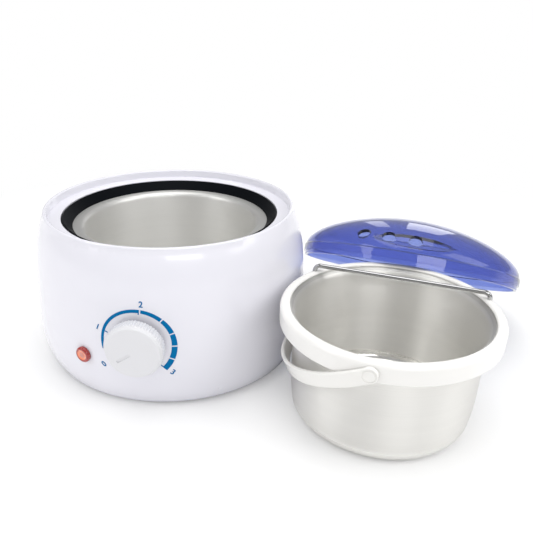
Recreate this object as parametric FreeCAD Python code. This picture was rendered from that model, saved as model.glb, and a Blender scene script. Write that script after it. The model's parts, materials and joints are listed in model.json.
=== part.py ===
import FreeCAD, Part
import math
import os

# Candle wax melter: a round electric heater, the wax pot that lifts out of it and its lid.
# Millimetres. The origin is on the heater's axis, at the table. The knob faces -Y and +Z is up.
# Rest: the pot stands on the table beside the heater, and the lid leans on the pot's collar.
# The radii follow from the pot outwards: pot, collar, well, seal ring, deck, rim and belly.

# ---------------------------------------------------------------- driving dimensions

# Clearances
fixed_gap = 0.1
drop_in_gap = 0.3
lid_fit_gap = 0.6
running_gap = 0.05
resting_gap = 0.3
pin_gap = 0.05

# Wax pot, spun from sheet
pot_wall_height = 57.2
pot_neck_radius = 53.1
pot_waist_draw = 0.8
pot_waist_height = 36.0
pot_belly_draw = 0.8
pot_belly_height = 18.0
pot_heel_draw = 9.1
pot_heel_round = 8.5
pot_heel_tuck = 1.0
pot_sheet = 1.0
pot_foot_width = 5.5
pot_floor_step = 1.4
pot_flare_width = 3.5
pot_neck_rise = 4.9

# Pot collar
collar_wall = 3.9
collar_lip = 1.7
collar_height = 10.8
collar_outer_round = 2.6
collar_inner_round = 1.2
collar_foot_bevel = 0.6
collar_foot_lip = 1.0

# Bail handle and its two pivot pins
bail_strap_width = 8.6
bail_strap_thickness = 2.2
bail_edge_round = 0.7
bail_bow = 2.2
bail_pivot_rise = 4.8
bail_angle = -104.0
bail_wall_gap = 0.45
pin_radius = 2.4
pin_cover = 0.7

# Scraper bar across the pot's mouth
bar_wire_radius = 1.35
bar_offset = 29.0
bar_angle = 75.6
bar_socket_inset = 2.1
bar_socket_depth = 2.5
bar_rise = 5.0
bar_bend_radius = 3.6

# Heating well, spun from sheet
well_play = 2.9
well_taper = 1.4
well_depth = 60.2
well_sheet = 1.2
well_mouth_round = 3.2
well_floor_round = 9.0
well_screw_radius = 0.9
well_screw_head_radius = 1.6
well_screw_head_height = 1.1
well_screw_inset = 2.5
well_screw_count = 3
well_screw_angle = 50.0
well_flange_inset = 0.7

# Black seal ring on the well's flange
collar_play = 2.5
seal_width = 6.3
seal_rise = 5.8
seal_lip = 0.6
seal_top_round = 1.2

# Casing: deck, recess that takes the lid, lip and pocket that takes the well
casing_height = 99.0
casing_wall = 2.5
deck_width = 8.3
deck_fall = 0.6
recess_depth = 5.0
recess_wall_draft = 0.3
lip_width = 2.4
pocket_depth = 7.0

# Casing, outside: how far the belly stands out from the rim, and the side draws in from the belly
belly_swell = 10.2
belly_height = 30.0
upper_flank_draw = 3.1
upper_flank_height = 74.0
middle_flank_draw = 1.2
middle_flank_height = 50.0
lower_flank_draw = 1.0
lower_flank_height = 16.0
base_edge_draw = 5.0

# Base plate and feet
foot_stand = 1.5
foot_radius = 6.5
foot_recess = 1.2
foot_inset = 19.2
foot_angle = 75.0
foot_count = 4
base_plate_thickness = 2.5
base_split_height = 3.4
base_edge_round = 3.0
base_spigot_height = 5.0
base_spigot_wall = 2.0
vent_count = 18
vent_inner_radius = 28.0
vent_length = 16.0
vent_width = 2.4

# Casing posts and the screws that hold the base plate
post_inset = 10.2
post_angle = 30.0
post_count = 4
post_radius = 4.2
post_length = 17.0
post_rib_thickness = 2.0
boss_radius = 5.6
boss_height = 7.5
screw_radius = 1.5
screw_head_radius = 3.1
screw_head_height = 1.9
screw_recess_depth = 5.0
screw_length = 9.0

# Heating band round the well, and its clamp
band_height = 24.0
band_foot_above_floor = 14.0
band_thickness = 2.0
band_gap_width = 12.4
band_tab_width = 6.0
band_tab_length = 6.0
band_tab_thickness = 1.0
band_tab_spread = 1.0
clamp_height = 10.0
clamp_thickness = 0.8
clamp_gap = 7.0
clamp_lug_length = 9.0
clamp_screw_reach = 5.4
clamp_screw_radius = 1.5
clamp_screw_spare = 1.0

# Thermal fuse under the well
fuse_radius = 2.0
fuse_length = 11.0
fuse_lead_radius = 0.6
fuse_lead_length = 4.0
fuse_offset = 12.0
fuse_clip_thickness = 0.8
fuse_clip_width = 7.0
fuse_stud_length = 7.0
nut_radius = 3.0
nut_height = 2.4

# Thermostat behind the front wall
dial_height = 45.2
dial_pad_radius = 11.0
dial_pad_depth = 2.2
thermostat_width = 27.0
thermostat_depth = 15.0
thermostat_corner = 4.0
thermostat_bush_radius = 4.8
thermostat_bush_reach = 2.35
thermostat_blade_width = 6.0
thermostat_blade_length = 7.0
thermostat_blade_setback = 10.5
thermostat_blade_root = 1.0
bracket_thickness = 1.0
bracket_width = 36.0
bracket_height = 22.0
bracket_corner = 5.0
dial_nut_radius = 7.0
dial_nut_thickness = 2.2
dial_nut_seat = 0.05
shaft_radius = 3.0
shaft_flat_depth = 0.9
shaft_grip_length = 8.0

# Control knob
knob_radius = 16.6
knob_face_radius = 15.7
knob_depth = 8.0
knob_stand_off = 1.6
knob_wall = 2.0
knob_face_thickness = 2.6
knob_hub_radius = 5.4
knob_hub_recess = 1.2
knob_face_round = 1.2
knob_flute_count = 56
knob_flute_radius = 0.6
knob_flute_bite = 0.45
knob_pointer_start = 2.4
knob_pointer_length = 8.6
knob_pointer_width = 1.6
knob_pointer_depth = 0.4
knob_off_angle = 213.0

# Indicator lamp
lamp_angle = -112.6
lamp_height = 32.0
lens_flange_radius = 4.9
lens_neck_radius = 4.0
lens_flange_thickness = 1.3
lens_crown = 1.2
lens_eye_radius = 2.1
lens_eye_sink = 0.7
lens_neck_length = 9.0
lens_wall = 1.2
lamp_radius = 2.3
lamp_length = 12.0
lamp_clip_radius = 7.0
lamp_clip_thickness = 0.7
lamp_clip_gap = 0.7

# Cable gland at the back, without a cable
gland_height = 26.0
gland_seat_depth = 0.8
gland_flange_radius = 6.6
gland_flange_thickness = 1.4
gland_flange_bevel = 0.9
gland_neck_radius = 4.6
gland_bore_radius = 3.2
gland_barb = 1.2
gland_tail_radius = 5.2
gland_tail_length = 4.0

# Terminal block on the base plate
terminal_length = 25.0
terminal_depth = 11.0
terminal_block_height = 11.0
terminal_circle_radius = 36.0
terminal_angle = 60.0
terminal_way_count = 3
terminal_bore_radius = 1.8
terminal_bore_height = 4.4
terminal_screw_radius = 1.4
terminal_screw_length = 5.2
terminal_screw_sink = 0.5
terminal_slot_width = 0.7

# Lid
lid_wall = 2.0
lid_flange_height = 5.4
lid_flange_step = 0.7
lid_edge_inset = 2.1
lid_skirt_depth = 2.8
lid_dome_height = 30.3
lid_dome_power = 1.75
lid_spin_angle = -6.0
lid_angle = 73.5
lid_side_shift = 7.9
lid_overhang = 7.5
vent_hole_radius = 4.35
vent_hole_count = 3
vent_hole_pitch_angle = 13.6
vent_hole_height = 8.8
vent_hole_tilt_angle = 42.0
notch_foot_height = 3.1
notch_back_height = 6.4
notch_back_depth = 3.2
notch_top_height = 11.5
notch_path_radius = 190.0
notch_middle_angle = 13.0
notch_sweep_angle = 28.0

# Where the pot stands
pot_nest = 0.5
pot_angle = -26.13

# ---------------------------------------------------------------- sizes worked out from these

pot_waist_radius = pot_neck_radius - pot_waist_draw
pot_belly_radius = pot_neck_radius - pot_belly_draw
pot_heel_radius = pot_neck_radius - pot_heel_draw
pot_rim_radius = pot_neck_radius + pot_flare_width
pot_flare_foot = pot_wall_height + pot_neck_rise
collar_radius = pot_rim_radius + collar_wall
collar_bore_radius = pot_rim_radius - collar_lip
collar_top = pot_wall_height + collar_height
bar_socket_radius = collar_radius - bar_socket_inset
bar_height = collar_top + bar_rise - bar_wire_radius
bail_reach = collar_radius + bail_bow
bail_pivot_height = pot_wall_height + bail_pivot_rise

well_bore_radius = pot_neck_radius + well_play
well_floor_radius = well_bore_radius - well_taper
seal_inner_radius = collar_radius + collar_play
seal_outer_radius = seal_inner_radius + seal_width
well_flange_radius = seal_outer_radius - well_flange_inset
well_screw_circle_radius = seal_outer_radius - well_screw_inset

pocket_radius = seal_outer_radius + drop_in_gap
recess_radius = seal_outer_radius + deck_width
rim_radius = recess_radius + lip_width
rim_height = casing_height - lip_width / 2
deck_height = casing_height - recess_depth
pocket_rim_height = deck_height - deck_fall
shelf_height = pocket_rim_height - pocket_depth
shelf_bore_radius = well_bore_radius + well_mouth_round + resting_gap
belly_radius = rim_radius + belly_swell
upper_flank_radius = belly_radius - upper_flank_draw
middle_flank_radius = belly_radius - middle_flank_draw
lower_flank_radius = belly_radius - lower_flank_draw
base_edge_radius = belly_radius - base_edge_draw

well_flange_height = shelf_height + well_sheet
well_floor_height = well_flange_height - well_depth
well_bottom_height = well_floor_height - well_sheet

plate_top = foot_stand + base_plate_thickness
foot_circle_radius = base_edge_radius - foot_inset
post_circle_radius = base_edge_radius - post_inset
boss_top = foot_stand + boss_height
screw_recess_top = foot_stand + screw_recess_depth

dial_pad_face = -(middle_flank_radius - casing_wall - dial_pad_depth)
thermostat_front = dial_pad_face + bracket_thickness
bush_front = -(belly_radius + thermostat_bush_reach)
knob_back = -(belly_radius + knob_stand_off)
knob_front = knob_back - knob_depth

lid_radius = rim_radius - lid_edge_inset
lid_skirt_radius = recess_radius - recess_wall_draft - lid_fit_gap
lid_base_radius = lid_radius - lid_flange_step

pot_distance = belly_radius + bail_reach + bail_strap_thickness / 2 - pot_nest
pot_x = pot_distance * math.cos(math.radians(pot_angle))
pot_y = pot_distance * math.sin(math.radians(pot_angle))


# ---------------------------------------------------------------- small helpers

def vec(x, y, z=0.0):
    return FreeCAD.Vector(x, y, z)


X_AXIS = vec(1, 0, 0)
Y_AXIS = vec(0, 1, 0)
Z_AXIS = vec(0, 0, 1)
ORIGIN = vec(0, 0, 0)

# How far the middle of a quarter arc lies in from its corner, as a share of its radius.
ARC_SHARE = 1 - math.sqrt(0.5)
SCREW_HEAD_TAPER = 0.8
SOLVER_STEPS = 40


class Outline:
    """A run of edges in the plane of radius and height, drawn from one point to the next."""

    def __init__(self, radius, height):
        self.start = vec(radius, 0, height)
        self.here = self.start
        self.edges = []

    def line(self, radius, height):
        there = vec(radius, 0, height)
        self.edges.append(Part.makeLine(self.here, there))
        self.here = there
        return self

    def arc(self, middle, end):
        there = vec(end[0], 0, end[1])
        self.edges.append(Part.Arc(self.here, vec(middle[0], 0, middle[1]), there).toShape())
        self.here = there
        return self

    def curve(self, points):
        places = [self.here] + [vec(radius, 0, height) for radius, height in points]
        spline = Part.BSplineCurve()
        spline.interpolate(places)
        self.edges.append(spline.toShape())
        self.here = places[-1]
        return self

    def wire(self):
        return Part.Wire(self.edges)

    def turned(self):
        """Close the outline and turn it round the Z axis."""
        if self.here.distanceToPoint(self.start) > 1e-6:
            self.edges.append(Part.makeLine(self.here, self.start))
        return Part.Face(self.wire()).revolve(ORIGIN, Z_AXIS, 360)


def rounded_run(corners):
    """Straight runs through (radius, height, rounding) corners, joined by tangent arcs."""
    first = corners[0]
    outline = Outline(first[0], first[1])
    for before, corner, after in zip(corners, corners[1:], corners[2:]):
        here = vec(corner[0], 0, corner[1])
        back = (vec(before[0], 0, before[1]) - here).normalize()
        ahead = (vec(after[0], 0, after[1]) - here).normalize()
        half_angle = back.getAngle(ahead) / 2
        reach = corner[2] / math.tan(half_angle)
        arc_start = here + back * reach
        arc_end = here + ahead * reach
        inward = (back + ahead).normalize()
        arc_middle = here + inward * (corner[2] / math.sin(half_angle) - corner[2])
        outline.line(arc_start.x, arc_start.z)
        outline.arc((arc_middle.x, arc_middle.z), (arc_end.x, arc_end.z))
    last = corners[-1]
    outline.line(last[0], last[1])
    return outline


def sheet_turned(outline, thickness):
    """A spun sheet: the outline is one side of it, and the sheet lies outside that side."""
    section = outline.wire().makeOffset2D(thickness, 0, True, True, False)
    return section.revolve(ORIGIN, Z_AXIS, 360)


def disc(radius, height, bottom=0.0):
    return Part.makeCylinder(radius, height, vec(0, 0, bottom))


def polar(radius, angle, height=0.0):
    turn = math.radians(angle)
    return vec(radius * math.cos(turn), radius * math.sin(turn), height)


def aimed(shape, direction):
    """Turn a shape that is built along +Z so that it points along direction."""
    turn = FreeCAD.Placement(ORIGIN, FreeCAD.Rotation(Z_AXIS, direction))
    turned = shape.copy()
    turned.Placement = turn.multiply(shape.Placement)
    return turned


def spun(shape, angle):
    return shape.rotated(ORIGIN, Z_AXIS, angle)


def ring_of(shape, count, first_angle):
    """Copies of a shape set evenly round the Z axis."""
    step = 360.0 / count
    return [spun(shape, first_angle + number * step) for number in range(count)]


def to_pot(shape):
    return shape.translated(vec(pot_x, pot_y, 0))


def hexagon(radius, height, bore):
    corners = [polar(radius, 60 * number) for number in range(7)]
    blank = Part.Face(Part.makePolygon(corners)).extrude(vec(0, 0, height))
    return blank.cut(disc(bore, height))


def save(name, shape):
    shape.exportStep("parts/" + name + ".step")


# ---------------------------------------------------------------- heater casing

def casing_flank(inset):
    """The casing's side from the parting line to the rim, moved inwards by inset."""
    return [
        (lower_flank_radius - inset, lower_flank_height),
        (belly_radius - inset, belly_height),
        (middle_flank_radius - inset, middle_flank_height),
        (upper_flank_radius - inset, upper_flank_height),
    ]


def casing_shell():
    """The moulded shell: side, rounded lip, lid recess, deck, pocket and well shelf."""
    under_deck = pocket_rim_height - casing_wall
    lip_middle = rim_radius - lip_width / 2
    shell = Outline(base_edge_radius, base_split_height)
    shell.curve(casing_flank(0) + [(rim_radius, rim_height)])
    shell.arc((lip_middle, casing_height), (recess_radius, rim_height))
    shell.line(recess_radius - recess_wall_draft, deck_height)
    shell.line(pocket_radius, pocket_rim_height)
    shell.line(pocket_radius, shelf_height)
    shell.line(shelf_bore_radius, shelf_height)
    shell.line(shelf_bore_radius, shelf_height - casing_wall)
    shell.line(pocket_radius + casing_wall, shelf_height - casing_wall)
    shell.line(pocket_radius + casing_wall, under_deck)
    shell.line(rim_radius - casing_wall, under_deck)
    flank_down = list(reversed(casing_flank(casing_wall)))
    shell.curve(flank_down + [(base_edge_radius - casing_wall, base_split_height)])
    return shell.turned()


def screw_post():
    """One post, its screw hole and the rib that ties it to the side wall."""
    wall_reach = lower_flank_radius - casing_wall / 2
    post = disc(post_radius, post_length, boss_top)
    post = post.translated(vec(post_circle_radius, 0, 0))
    rib = Part.makeBox(
        wall_reach - post_circle_radius, post_rib_thickness, post_length,
        vec(post_circle_radius, -post_rib_thickness / 2, boss_top),
    )
    pilot = disc(screw_radius + running_gap, post_length - casing_wall, boss_top)
    return post.fuse(rib).cut(pilot.translated(vec(post_circle_radius, 0, 0)))


def outer_casing():
    posts = ring_of(screw_post(), post_count, post_angle)
    dial_pad = aimed(disc(dial_pad_radius, dial_pad_depth + casing_wall / 2), -Y_AXIS)
    dial_pad = dial_pad.translated(vec(0, dial_pad_face, dial_height))
    casing = casing_shell().fuse(posts + [dial_pad])
    dial_hole = aimed(disc(thermostat_bush_radius + fixed_gap, casing_wall * 4), -Y_AXIS)
    dial_hole = dial_hole.translated(vec(0, dial_pad_face + casing_wall, dial_height))
    lamp_hole = at_lamp(disc(lens_neck_radius + fixed_gap, casing_wall * 4, -casing_wall * 2))
    gland_hole = at_gland(disc(gland_neck_radius + fixed_gap, casing_wall * 4, -casing_wall * 2))
    gland_seat = at_gland(disc(gland_flange_radius + drop_in_gap, casing_wall, -gland_seat_depth))
    well_pilot = disc(well_screw_radius + running_gap, casing_wall, shelf_height - casing_wall)
    well_pilot = well_pilot.translated(vec(well_screw_circle_radius, 0, 0))
    well_pilots = ring_of(well_pilot, well_screw_count, well_screw_angle)
    return casing.cut([dial_hole, lamp_hole, gland_hole, gland_seat] + well_pilots)


# ---------------------------------------------------------------- base plate, feet and screws

def base_plate():
    """The tray under the casing, with its spigot, bosses, foot seats and vents."""
    spigot_radius = base_edge_radius - casing_wall - drop_in_gap
    edge_height = base_split_height - foot_stand
    plate = Outline(0, foot_stand)
    plate.line(base_edge_radius - base_edge_round, foot_stand)
    plate.arc(
        (base_edge_radius - base_edge_round * ARC_SHARE, foot_stand + edge_height * ARC_SHARE),
        (base_edge_radius, base_split_height),
    )
    plate.line(spigot_radius, base_split_height)
    plate.line(spigot_radius, plate_top + base_spigot_height)
    plate.line(spigot_radius - base_spigot_wall, plate_top + base_spigot_height)
    plate.line(spigot_radius - base_spigot_wall, plate_top)
    plate.line(0, plate_top)
    tray = plate.turned()
    boss = disc(boss_radius, boss_height, foot_stand).translated(vec(post_circle_radius, 0, 0))
    tray = tray.fuse(ring_of(boss, post_count, post_angle))
    head_recess = disc(screw_head_radius + drop_in_gap, screw_recess_depth, foot_stand)
    shank_hole = disc(screw_radius + drop_in_gap, boss_height, foot_stand)
    screw_hole = head_recess.fuse(shank_hole).translated(vec(post_circle_radius, 0, 0))
    foot_seat = disc(foot_radius + fixed_gap, foot_recess, foot_stand)
    foot_seat = foot_seat.translated(vec(foot_circle_radius, 0, 0))
    cuts = ring_of(screw_hole, post_count, post_angle)
    cuts += ring_of(foot_seat, foot_count, foot_angle)
    cuts += ring_of(vent_slot(), vent_count, 0)
    return tray.cut(cuts)


def vent_slot():
    """A slot with round ends, cut along the radius."""
    end_radius = vent_width / 2
    slot = Part.makeBox(
        vent_length, vent_width, base_plate_thickness,
        vec(vent_inner_radius, -end_radius, foot_stand),
    )
    inner_end = disc(end_radius, base_plate_thickness, foot_stand)
    ends = [inner_end.translated(vec(vent_inner_radius + shift, 0, 0)) for shift in (0, vent_length)]
    return slot.fuse(ends)


def rubber_feet():
    height = foot_stand + foot_recess
    foot = Part.makeCone(foot_radius - foot_stand / 2, foot_radius, foot_stand)
    foot = foot.fuse(disc(foot_radius, height - foot_stand, foot_stand)).removeSplitter()
    foot = foot.translated(vec(foot_circle_radius, 0, 0))
    return Part.makeCompound(ring_of(foot, foot_count, foot_angle))


def pan_screw(radius, head_radius, head_height, length):
    """A screw with its head down at the origin and its shank up along +Z."""
    head = Part.makeCone(head_radius * SCREW_HEAD_TAPER, head_radius, head_height / 2)
    head = head.fuse(disc(head_radius, head_height / 2, head_height / 2))
    driver_slot = Part.makeBox(
        head_radius * 2, head_height / 2, head_height / 2,
        vec(-head_radius, -head_height / 4, 0),
    )
    shank = disc(radius, length, head_height)
    return head.cut(driver_slot).fuse(shank).removeSplitter()


def base_screws():
    screw = pan_screw(screw_radius, screw_head_radius, screw_head_height, screw_length)
    screw = screw.translated(vec(post_circle_radius, 0, screw_recess_top - screw_head_height))
    return Part.makeCompound(ring_of(screw, post_count, post_angle))


# ---------------------------------------------------------------- heating well and seal

def well_bore_at(height):
    """The well's inside radius at a height on its straight wall."""
    share = (height - well_floor_height) / well_depth
    return well_floor_radius + (well_bore_radius - well_floor_radius) * share


def heating_well():
    """The spun cup, hung by its flange, with the fuse stud under its floor."""
    side = rounded_run([
        (0, well_floor_height, 0),
        (well_floor_radius, well_floor_height, well_floor_round),
        (well_bore_radius, well_flange_height, well_mouth_round),
        (well_flange_radius, well_flange_height, 0),
    ])
    cup = sheet_turned(side, -well_sheet)
    stud = disc(clamp_screw_radius, fuse_stud_length, well_bottom_height - fuse_stud_length)
    screw_hole = disc(well_screw_radius + fixed_gap, well_sheet * 3, shelf_height - well_sheet)
    screw_hole = screw_hole.translated(vec(well_screw_circle_radius, 0, 0))
    return cup.fuse(stud).cut(ring_of(screw_hole, well_screw_count, well_screw_angle))


def well_screws():
    """The screws that hold the well's flange down on the casing's shelf, under the seal."""
    screw = pan_screw(well_screw_radius, well_screw_head_radius, well_screw_head_height,
                      casing_wall + well_sheet)
    screw = screw.rotated(ORIGIN, X_AXIS, 180)
    top = well_flange_height + well_screw_head_height
    screw = screw.translated(vec(well_screw_circle_radius, 0, top))
    return Part.makeCompound(ring_of(screw, well_screw_count, well_screw_angle))


def seal_ring():
    """The black ring: it slopes down to the well and has pockets over the flange screws."""
    foot = well_flange_height
    round_middle = seal_top_round * ARC_SHARE
    ring = Outline(seal_inner_radius, foot)
    ring.line(seal_inner_radius, foot + seal_lip)
    ring.line(seal_outer_radius - seal_top_round, foot + seal_rise)
    ring.arc(
        (seal_outer_radius - round_middle, foot + seal_rise - round_middle),
        (seal_outer_radius, foot + seal_rise - seal_top_round),
    )
    ring.line(seal_outer_radius, foot)
    pocket = disc(well_screw_head_radius + drop_in_gap, well_screw_head_height + drop_in_gap, foot)
    pocket = pocket.translated(vec(well_screw_circle_radius, 0, 0))
    return ring.turned().cut(ring_of(pocket, well_screw_count, well_screw_angle))


# ---------------------------------------------------------------- heating band and fuse

def band_section(inset, thickness, bottom, top):
    """A ring that follows the well's tapered wall at a distance of inset."""
    inner_low = well_bore_at(bottom) + well_sheet + inset
    inner_high = well_bore_at(top) + well_sheet + inset
    ring = Outline(inner_low, bottom)
    ring.line(inner_low + thickness, bottom)
    ring.line(inner_high + thickness, top)
    ring.line(inner_high, top)
    return ring.turned()


def band_levels():
    bottom = well_floor_height + band_foot_above_floor
    return bottom, bottom + band_height


def heating_band():
    """The heating band, with a gap and two terminal tabs at the left of the well."""
    bottom, top = band_levels()
    band = band_section(fixed_gap, band_thickness, bottom, top)
    outer = well_bore_radius + well_sheet + fixed_gap + band_thickness
    gap = Part.makeBox(
        outer, band_gap_width, band_height, vec(-outer * 1.5, -band_gap_width / 2, bottom),
    )
    tabs = []
    for side in (-1, 1):
        tab_y = side * (band_gap_width / 2 + band_tab_width / 2 + band_tab_spread)
        inner_x = math.sqrt((outer - band_thickness) ** 2 - tab_y ** 2)
        root_x = inner_x + band_thickness / 2
        tab = Part.makeBox(
            band_tab_length, band_tab_width, band_tab_thickness,
            vec(-root_x - band_tab_length, tab_y - band_tab_width / 2, bottom + band_thickness),
        )
        tabs.append(tab)
    return band.cut(gap).fuse(tabs)


def clamp_levels():
    bottom, top = band_levels()
    middle = (bottom + top) / 2
    return middle - clamp_height / 2, middle + clamp_height / 2


def clamp_outer_radius():
    bottom, top = clamp_levels()
    reach = well_bore_at(top) + well_sheet + 2 * fixed_gap + band_thickness
    return reach + clamp_thickness


def band_clamp():
    """The steel strap round the band, with two drilled lugs at the right of the well."""
    bottom, top = clamp_levels()
    strap = band_section(2 * fixed_gap + band_thickness, clamp_thickness, bottom, top)
    outer = clamp_outer_radius()
    gap = Part.makeBox(outer, clamp_gap, clamp_height, vec(outer * 0.5, -clamp_gap / 2, bottom))
    strap = strap.cut(gap)
    lugs = []
    for side in (-1, 1):
        low_y = clamp_gap / 2 if side > 0 else -clamp_gap / 2 - clamp_thickness
        lug = Part.makeBox(
            clamp_lug_length + clamp_thickness, clamp_thickness, clamp_height,
            vec(outer - clamp_thickness, low_y, bottom),
        )
        lugs.append(lug)
    hole = aimed(disc(clamp_screw_radius + fixed_gap, clamp_gap * 3), Y_AXIS)
    hole = hole.translated(vec(clamp_screw_x(), -clamp_gap * 1.5, (bottom + top) / 2))
    return strap.fuse(lugs).cut(hole)


def clamp_screw_x():
    return clamp_outer_radius() + clamp_screw_reach


def clamp_screw():
    """The screw through the clamp's lugs, and its nut."""
    bottom, top = clamp_levels()
    grip = clamp_gap + 2 * clamp_thickness
    screw = pan_screw(clamp_screw_radius, screw_head_radius, screw_head_height,
                      grip + nut_height + clamp_screw_spare)
    screw = screw.rotated(ORIGIN, X_AXIS, -90)
    screw = screw.translated(vec(0, -grip / 2 - screw_head_height, 0))
    nut = aimed(hexagon(nut_radius, nut_height, clamp_screw_radius + running_gap), Y_AXIS)
    nut = nut.translated(vec(0, grip / 2, 0))
    pair = Part.makeCompound([screw, nut])
    return pair.translated(vec(clamp_screw_x(), 0, (bottom + top) / 2))


def thermal_fuse():
    """The fuse's round body and its two leads, under the well's floor."""
    wire_length = fuse_length + 2 * fuse_lead_length
    fuse = aimed(disc(fuse_radius, fuse_length, -fuse_length / 2), Y_AXIS)
    wire = aimed(disc(fuse_lead_radius, wire_length, -wire_length / 2), Y_AXIS)
    height = well_bottom_height - fuse_radius - fixed_gap
    return fuse.fuse(wire).translated(vec(fuse_offset, 0, height))


def fuse_clip():
    """A strip that is bent round the fuse and held on the stud."""
    top = well_bottom_height
    inner = fuse_radius + fixed_gap
    outer = inner + fuse_clip_thickness
    fuse_middle = top - fuse_radius - fixed_gap
    saddle = aimed(disc(outer, fuse_clip_width, -fuse_clip_width / 2), Y_AXIS)
    saddle = saddle.translated(vec(fuse_offset, 0, fuse_middle))
    upper_half = Part.makeBox(
        outer * 2, fuse_clip_width, outer * 2,
        vec(fuse_offset - outer, -fuse_clip_width / 2, fuse_middle),
    )
    cheeks = Part.makeBox(
        outer * 2, fuse_clip_width, top - fuse_middle,
        vec(fuse_offset - outer, -fuse_clip_width / 2, fuse_middle),
    )
    tongue = Part.makeBox(
        fuse_offset + nut_radius, fuse_clip_width, fuse_clip_thickness,
        vec(-nut_radius, -fuse_clip_width / 2, top - fuse_clip_thickness),
    )
    clip = saddle.cut(upper_half).fuse([cheeks, tongue])
    bed = aimed(disc(inner, fuse_clip_width, -fuse_clip_width / 2), Y_AXIS)
    bed = bed.translated(vec(fuse_offset, 0, fuse_middle))
    mouth = Part.makeBox(
        inner * 2, fuse_clip_width, top - fuse_middle,
        vec(fuse_offset - inner, -fuse_clip_width / 2, fuse_middle),
    )
    stud_hole = disc(clamp_screw_radius + fixed_gap, fuse_clip_thickness * 2, top - fuse_clip_thickness)
    return clip.cut([bed, mouth, stud_hole])


def fuse_nut():
    bottom = well_bottom_height - fuse_clip_thickness - nut_height
    nut = hexagon(nut_radius, nut_height, clamp_screw_radius + running_gap)
    return nut.translated(vec(0, 0, bottom))


# ---------------------------------------------------------------- thermostat and knob

def rounded_block(width, height, depth, corner):
    """A block with round corners, centred on the origin in X and Z, its depth along +Y."""
    half_width = width / 2
    half_height = height / 2
    block = Part.makeBox(width, depth, height, vec(-half_width, 0, -half_height))
    upright = [edge for edge in block.Edges if abs(edge.tangentAt(edge.FirstParameter).y) > 0.9]
    return block.makeFillet(corner, upright)


def thermostat_body():
    """The switch body, its threaded bush through the wall and two blade terminals."""
    body = rounded_block(thermostat_width, thermostat_width, thermostat_depth, thermostat_corner)
    bush_length = thermostat_front - bush_front
    bush = aimed(disc(thermostat_bush_radius, bush_length), -Y_AXIS)
    blades = []
    for side in (-1, 1):
        blade_x = side * thermostat_width / 4 - thermostat_blade_width / 2
        blade_foot = -thermostat_width / 2 - thermostat_blade_length
        blade = Part.makeBox(
            thermostat_blade_width, bracket_thickness,
            thermostat_blade_length + thermostat_blade_root,
            vec(blade_x, thermostat_blade_setback, blade_foot),
        )
        blades.append(blade)
    bore = aimed(disc(shaft_radius + running_gap, thermostat_depth + bush_length), -Y_AXIS)
    bore = bore.translated(vec(0, thermostat_depth / 2, 0))
    body = body.fuse([bush] + blades).cut(bore)
    return body.translated(vec(0, thermostat_front, dial_height))


def thermostat_bracket():
    """The steel plate between the thermostat and the pad inside the casing."""
    plate = rounded_block(bracket_width, bracket_height, bracket_thickness, bracket_corner)
    hole = aimed(disc(thermostat_bush_radius + fixed_gap, bracket_thickness), Y_AXIS)
    return plate.cut(hole).translated(vec(0, dial_pad_face, dial_height))


def thermostat_nut():
    """The flat nut on the bush, hidden under the knob."""
    nut = hexagon(dial_nut_radius, dial_nut_thickness, thermostat_bush_radius + running_gap)
    nut = aimed(nut, -Y_AXIS)
    return nut.translated(vec(0, -(belly_radius + dial_nut_seat), dial_height))


def shaft_section(radius, flat_depth):
    """A round bar along -Y with a flat on the side that faces the pointer."""
    length = -knob_front - knob_face_thickness + thermostat_front
    bar = disc(radius, length)
    flat = Part.makeBox(
        radius * 2, radius * 2, shaft_grip_length,
        vec(-radius, radius - flat_depth, length - shaft_grip_length),
    )
    return bar.cut(flat), length


def control_shaft():
    shaft, length = shaft_section(shaft_radius, shaft_flat_depth)
    tail_length = thermostat_depth / 2 - resting_gap
    shaft = shaft.fuse(disc(shaft_radius, tail_length, -tail_length)).removeSplitter()
    return knob_turned(aimed(shaft, -Y_AXIS)).translated(vec(0, thermostat_front, dial_height))


def knob_blank():
    """The knob's cup: tapered side, round face edge and hub, with its face at z = knob_depth."""
    blank = Outline(0, 0)
    blank.line(knob_radius, 0)
    blank.line(knob_radius, knob_depth - knob_face_thickness)
    blank.line(knob_face_radius, knob_depth - knob_face_round)
    blank.arc(
        (knob_face_radius - knob_face_round * ARC_SHARE, knob_depth - knob_face_round * ARC_SHARE),
        (knob_face_radius - knob_face_round, knob_depth),
    )
    blank.line(0, knob_depth)
    hollow_depth = knob_depth - knob_face_thickness
    hub = disc(knob_hub_radius, hollow_depth - knob_hub_recess, knob_hub_recess)
    hollow = disc(knob_radius - knob_wall, hollow_depth).cut(hub)
    return blank.turned().cut(hollow)


def control_knob():
    """The knob: a fluted cup with a pointer groove, bored for the flatted shaft."""
    knob = knob_blank()
    flute = disc(knob_flute_radius, knob_depth)
    flute = flute.translated(vec(knob_radius + knob_flute_radius - knob_flute_bite, 0, 0))
    groove = Part.makeBox(
        knob_pointer_length, knob_pointer_width, knob_pointer_depth,
        vec(knob_pointer_start, -knob_pointer_width / 2, knob_depth - knob_pointer_depth),
    )
    groove = groove.rotated(ORIGIN, Z_AXIS, 90)
    knob = knob.cut(ring_of(flute, knob_flute_count, 0) + [groove])
    bore_radius = shaft_radius + running_gap / 2
    bar, length = shaft_section(bore_radius, shaft_flat_depth)
    bore = bar.translated(vec(0, 0, knob_depth - knob_face_thickness - length + running_gap))
    knob = knob.cut(bore)
    knob = knob_turned(aimed(knob, -Y_AXIS))
    return knob.translated(vec(0, knob_back, dial_height))


def knob_turned(shape):
    """Turn a shape on the dial's axis so that its pointer shows the off position."""
    return shape.rotated(ORIGIN, Y_AXIS, 90 - knob_off_angle)


# ---------------------------------------------------------------- lamp, gland and terminals

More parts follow.
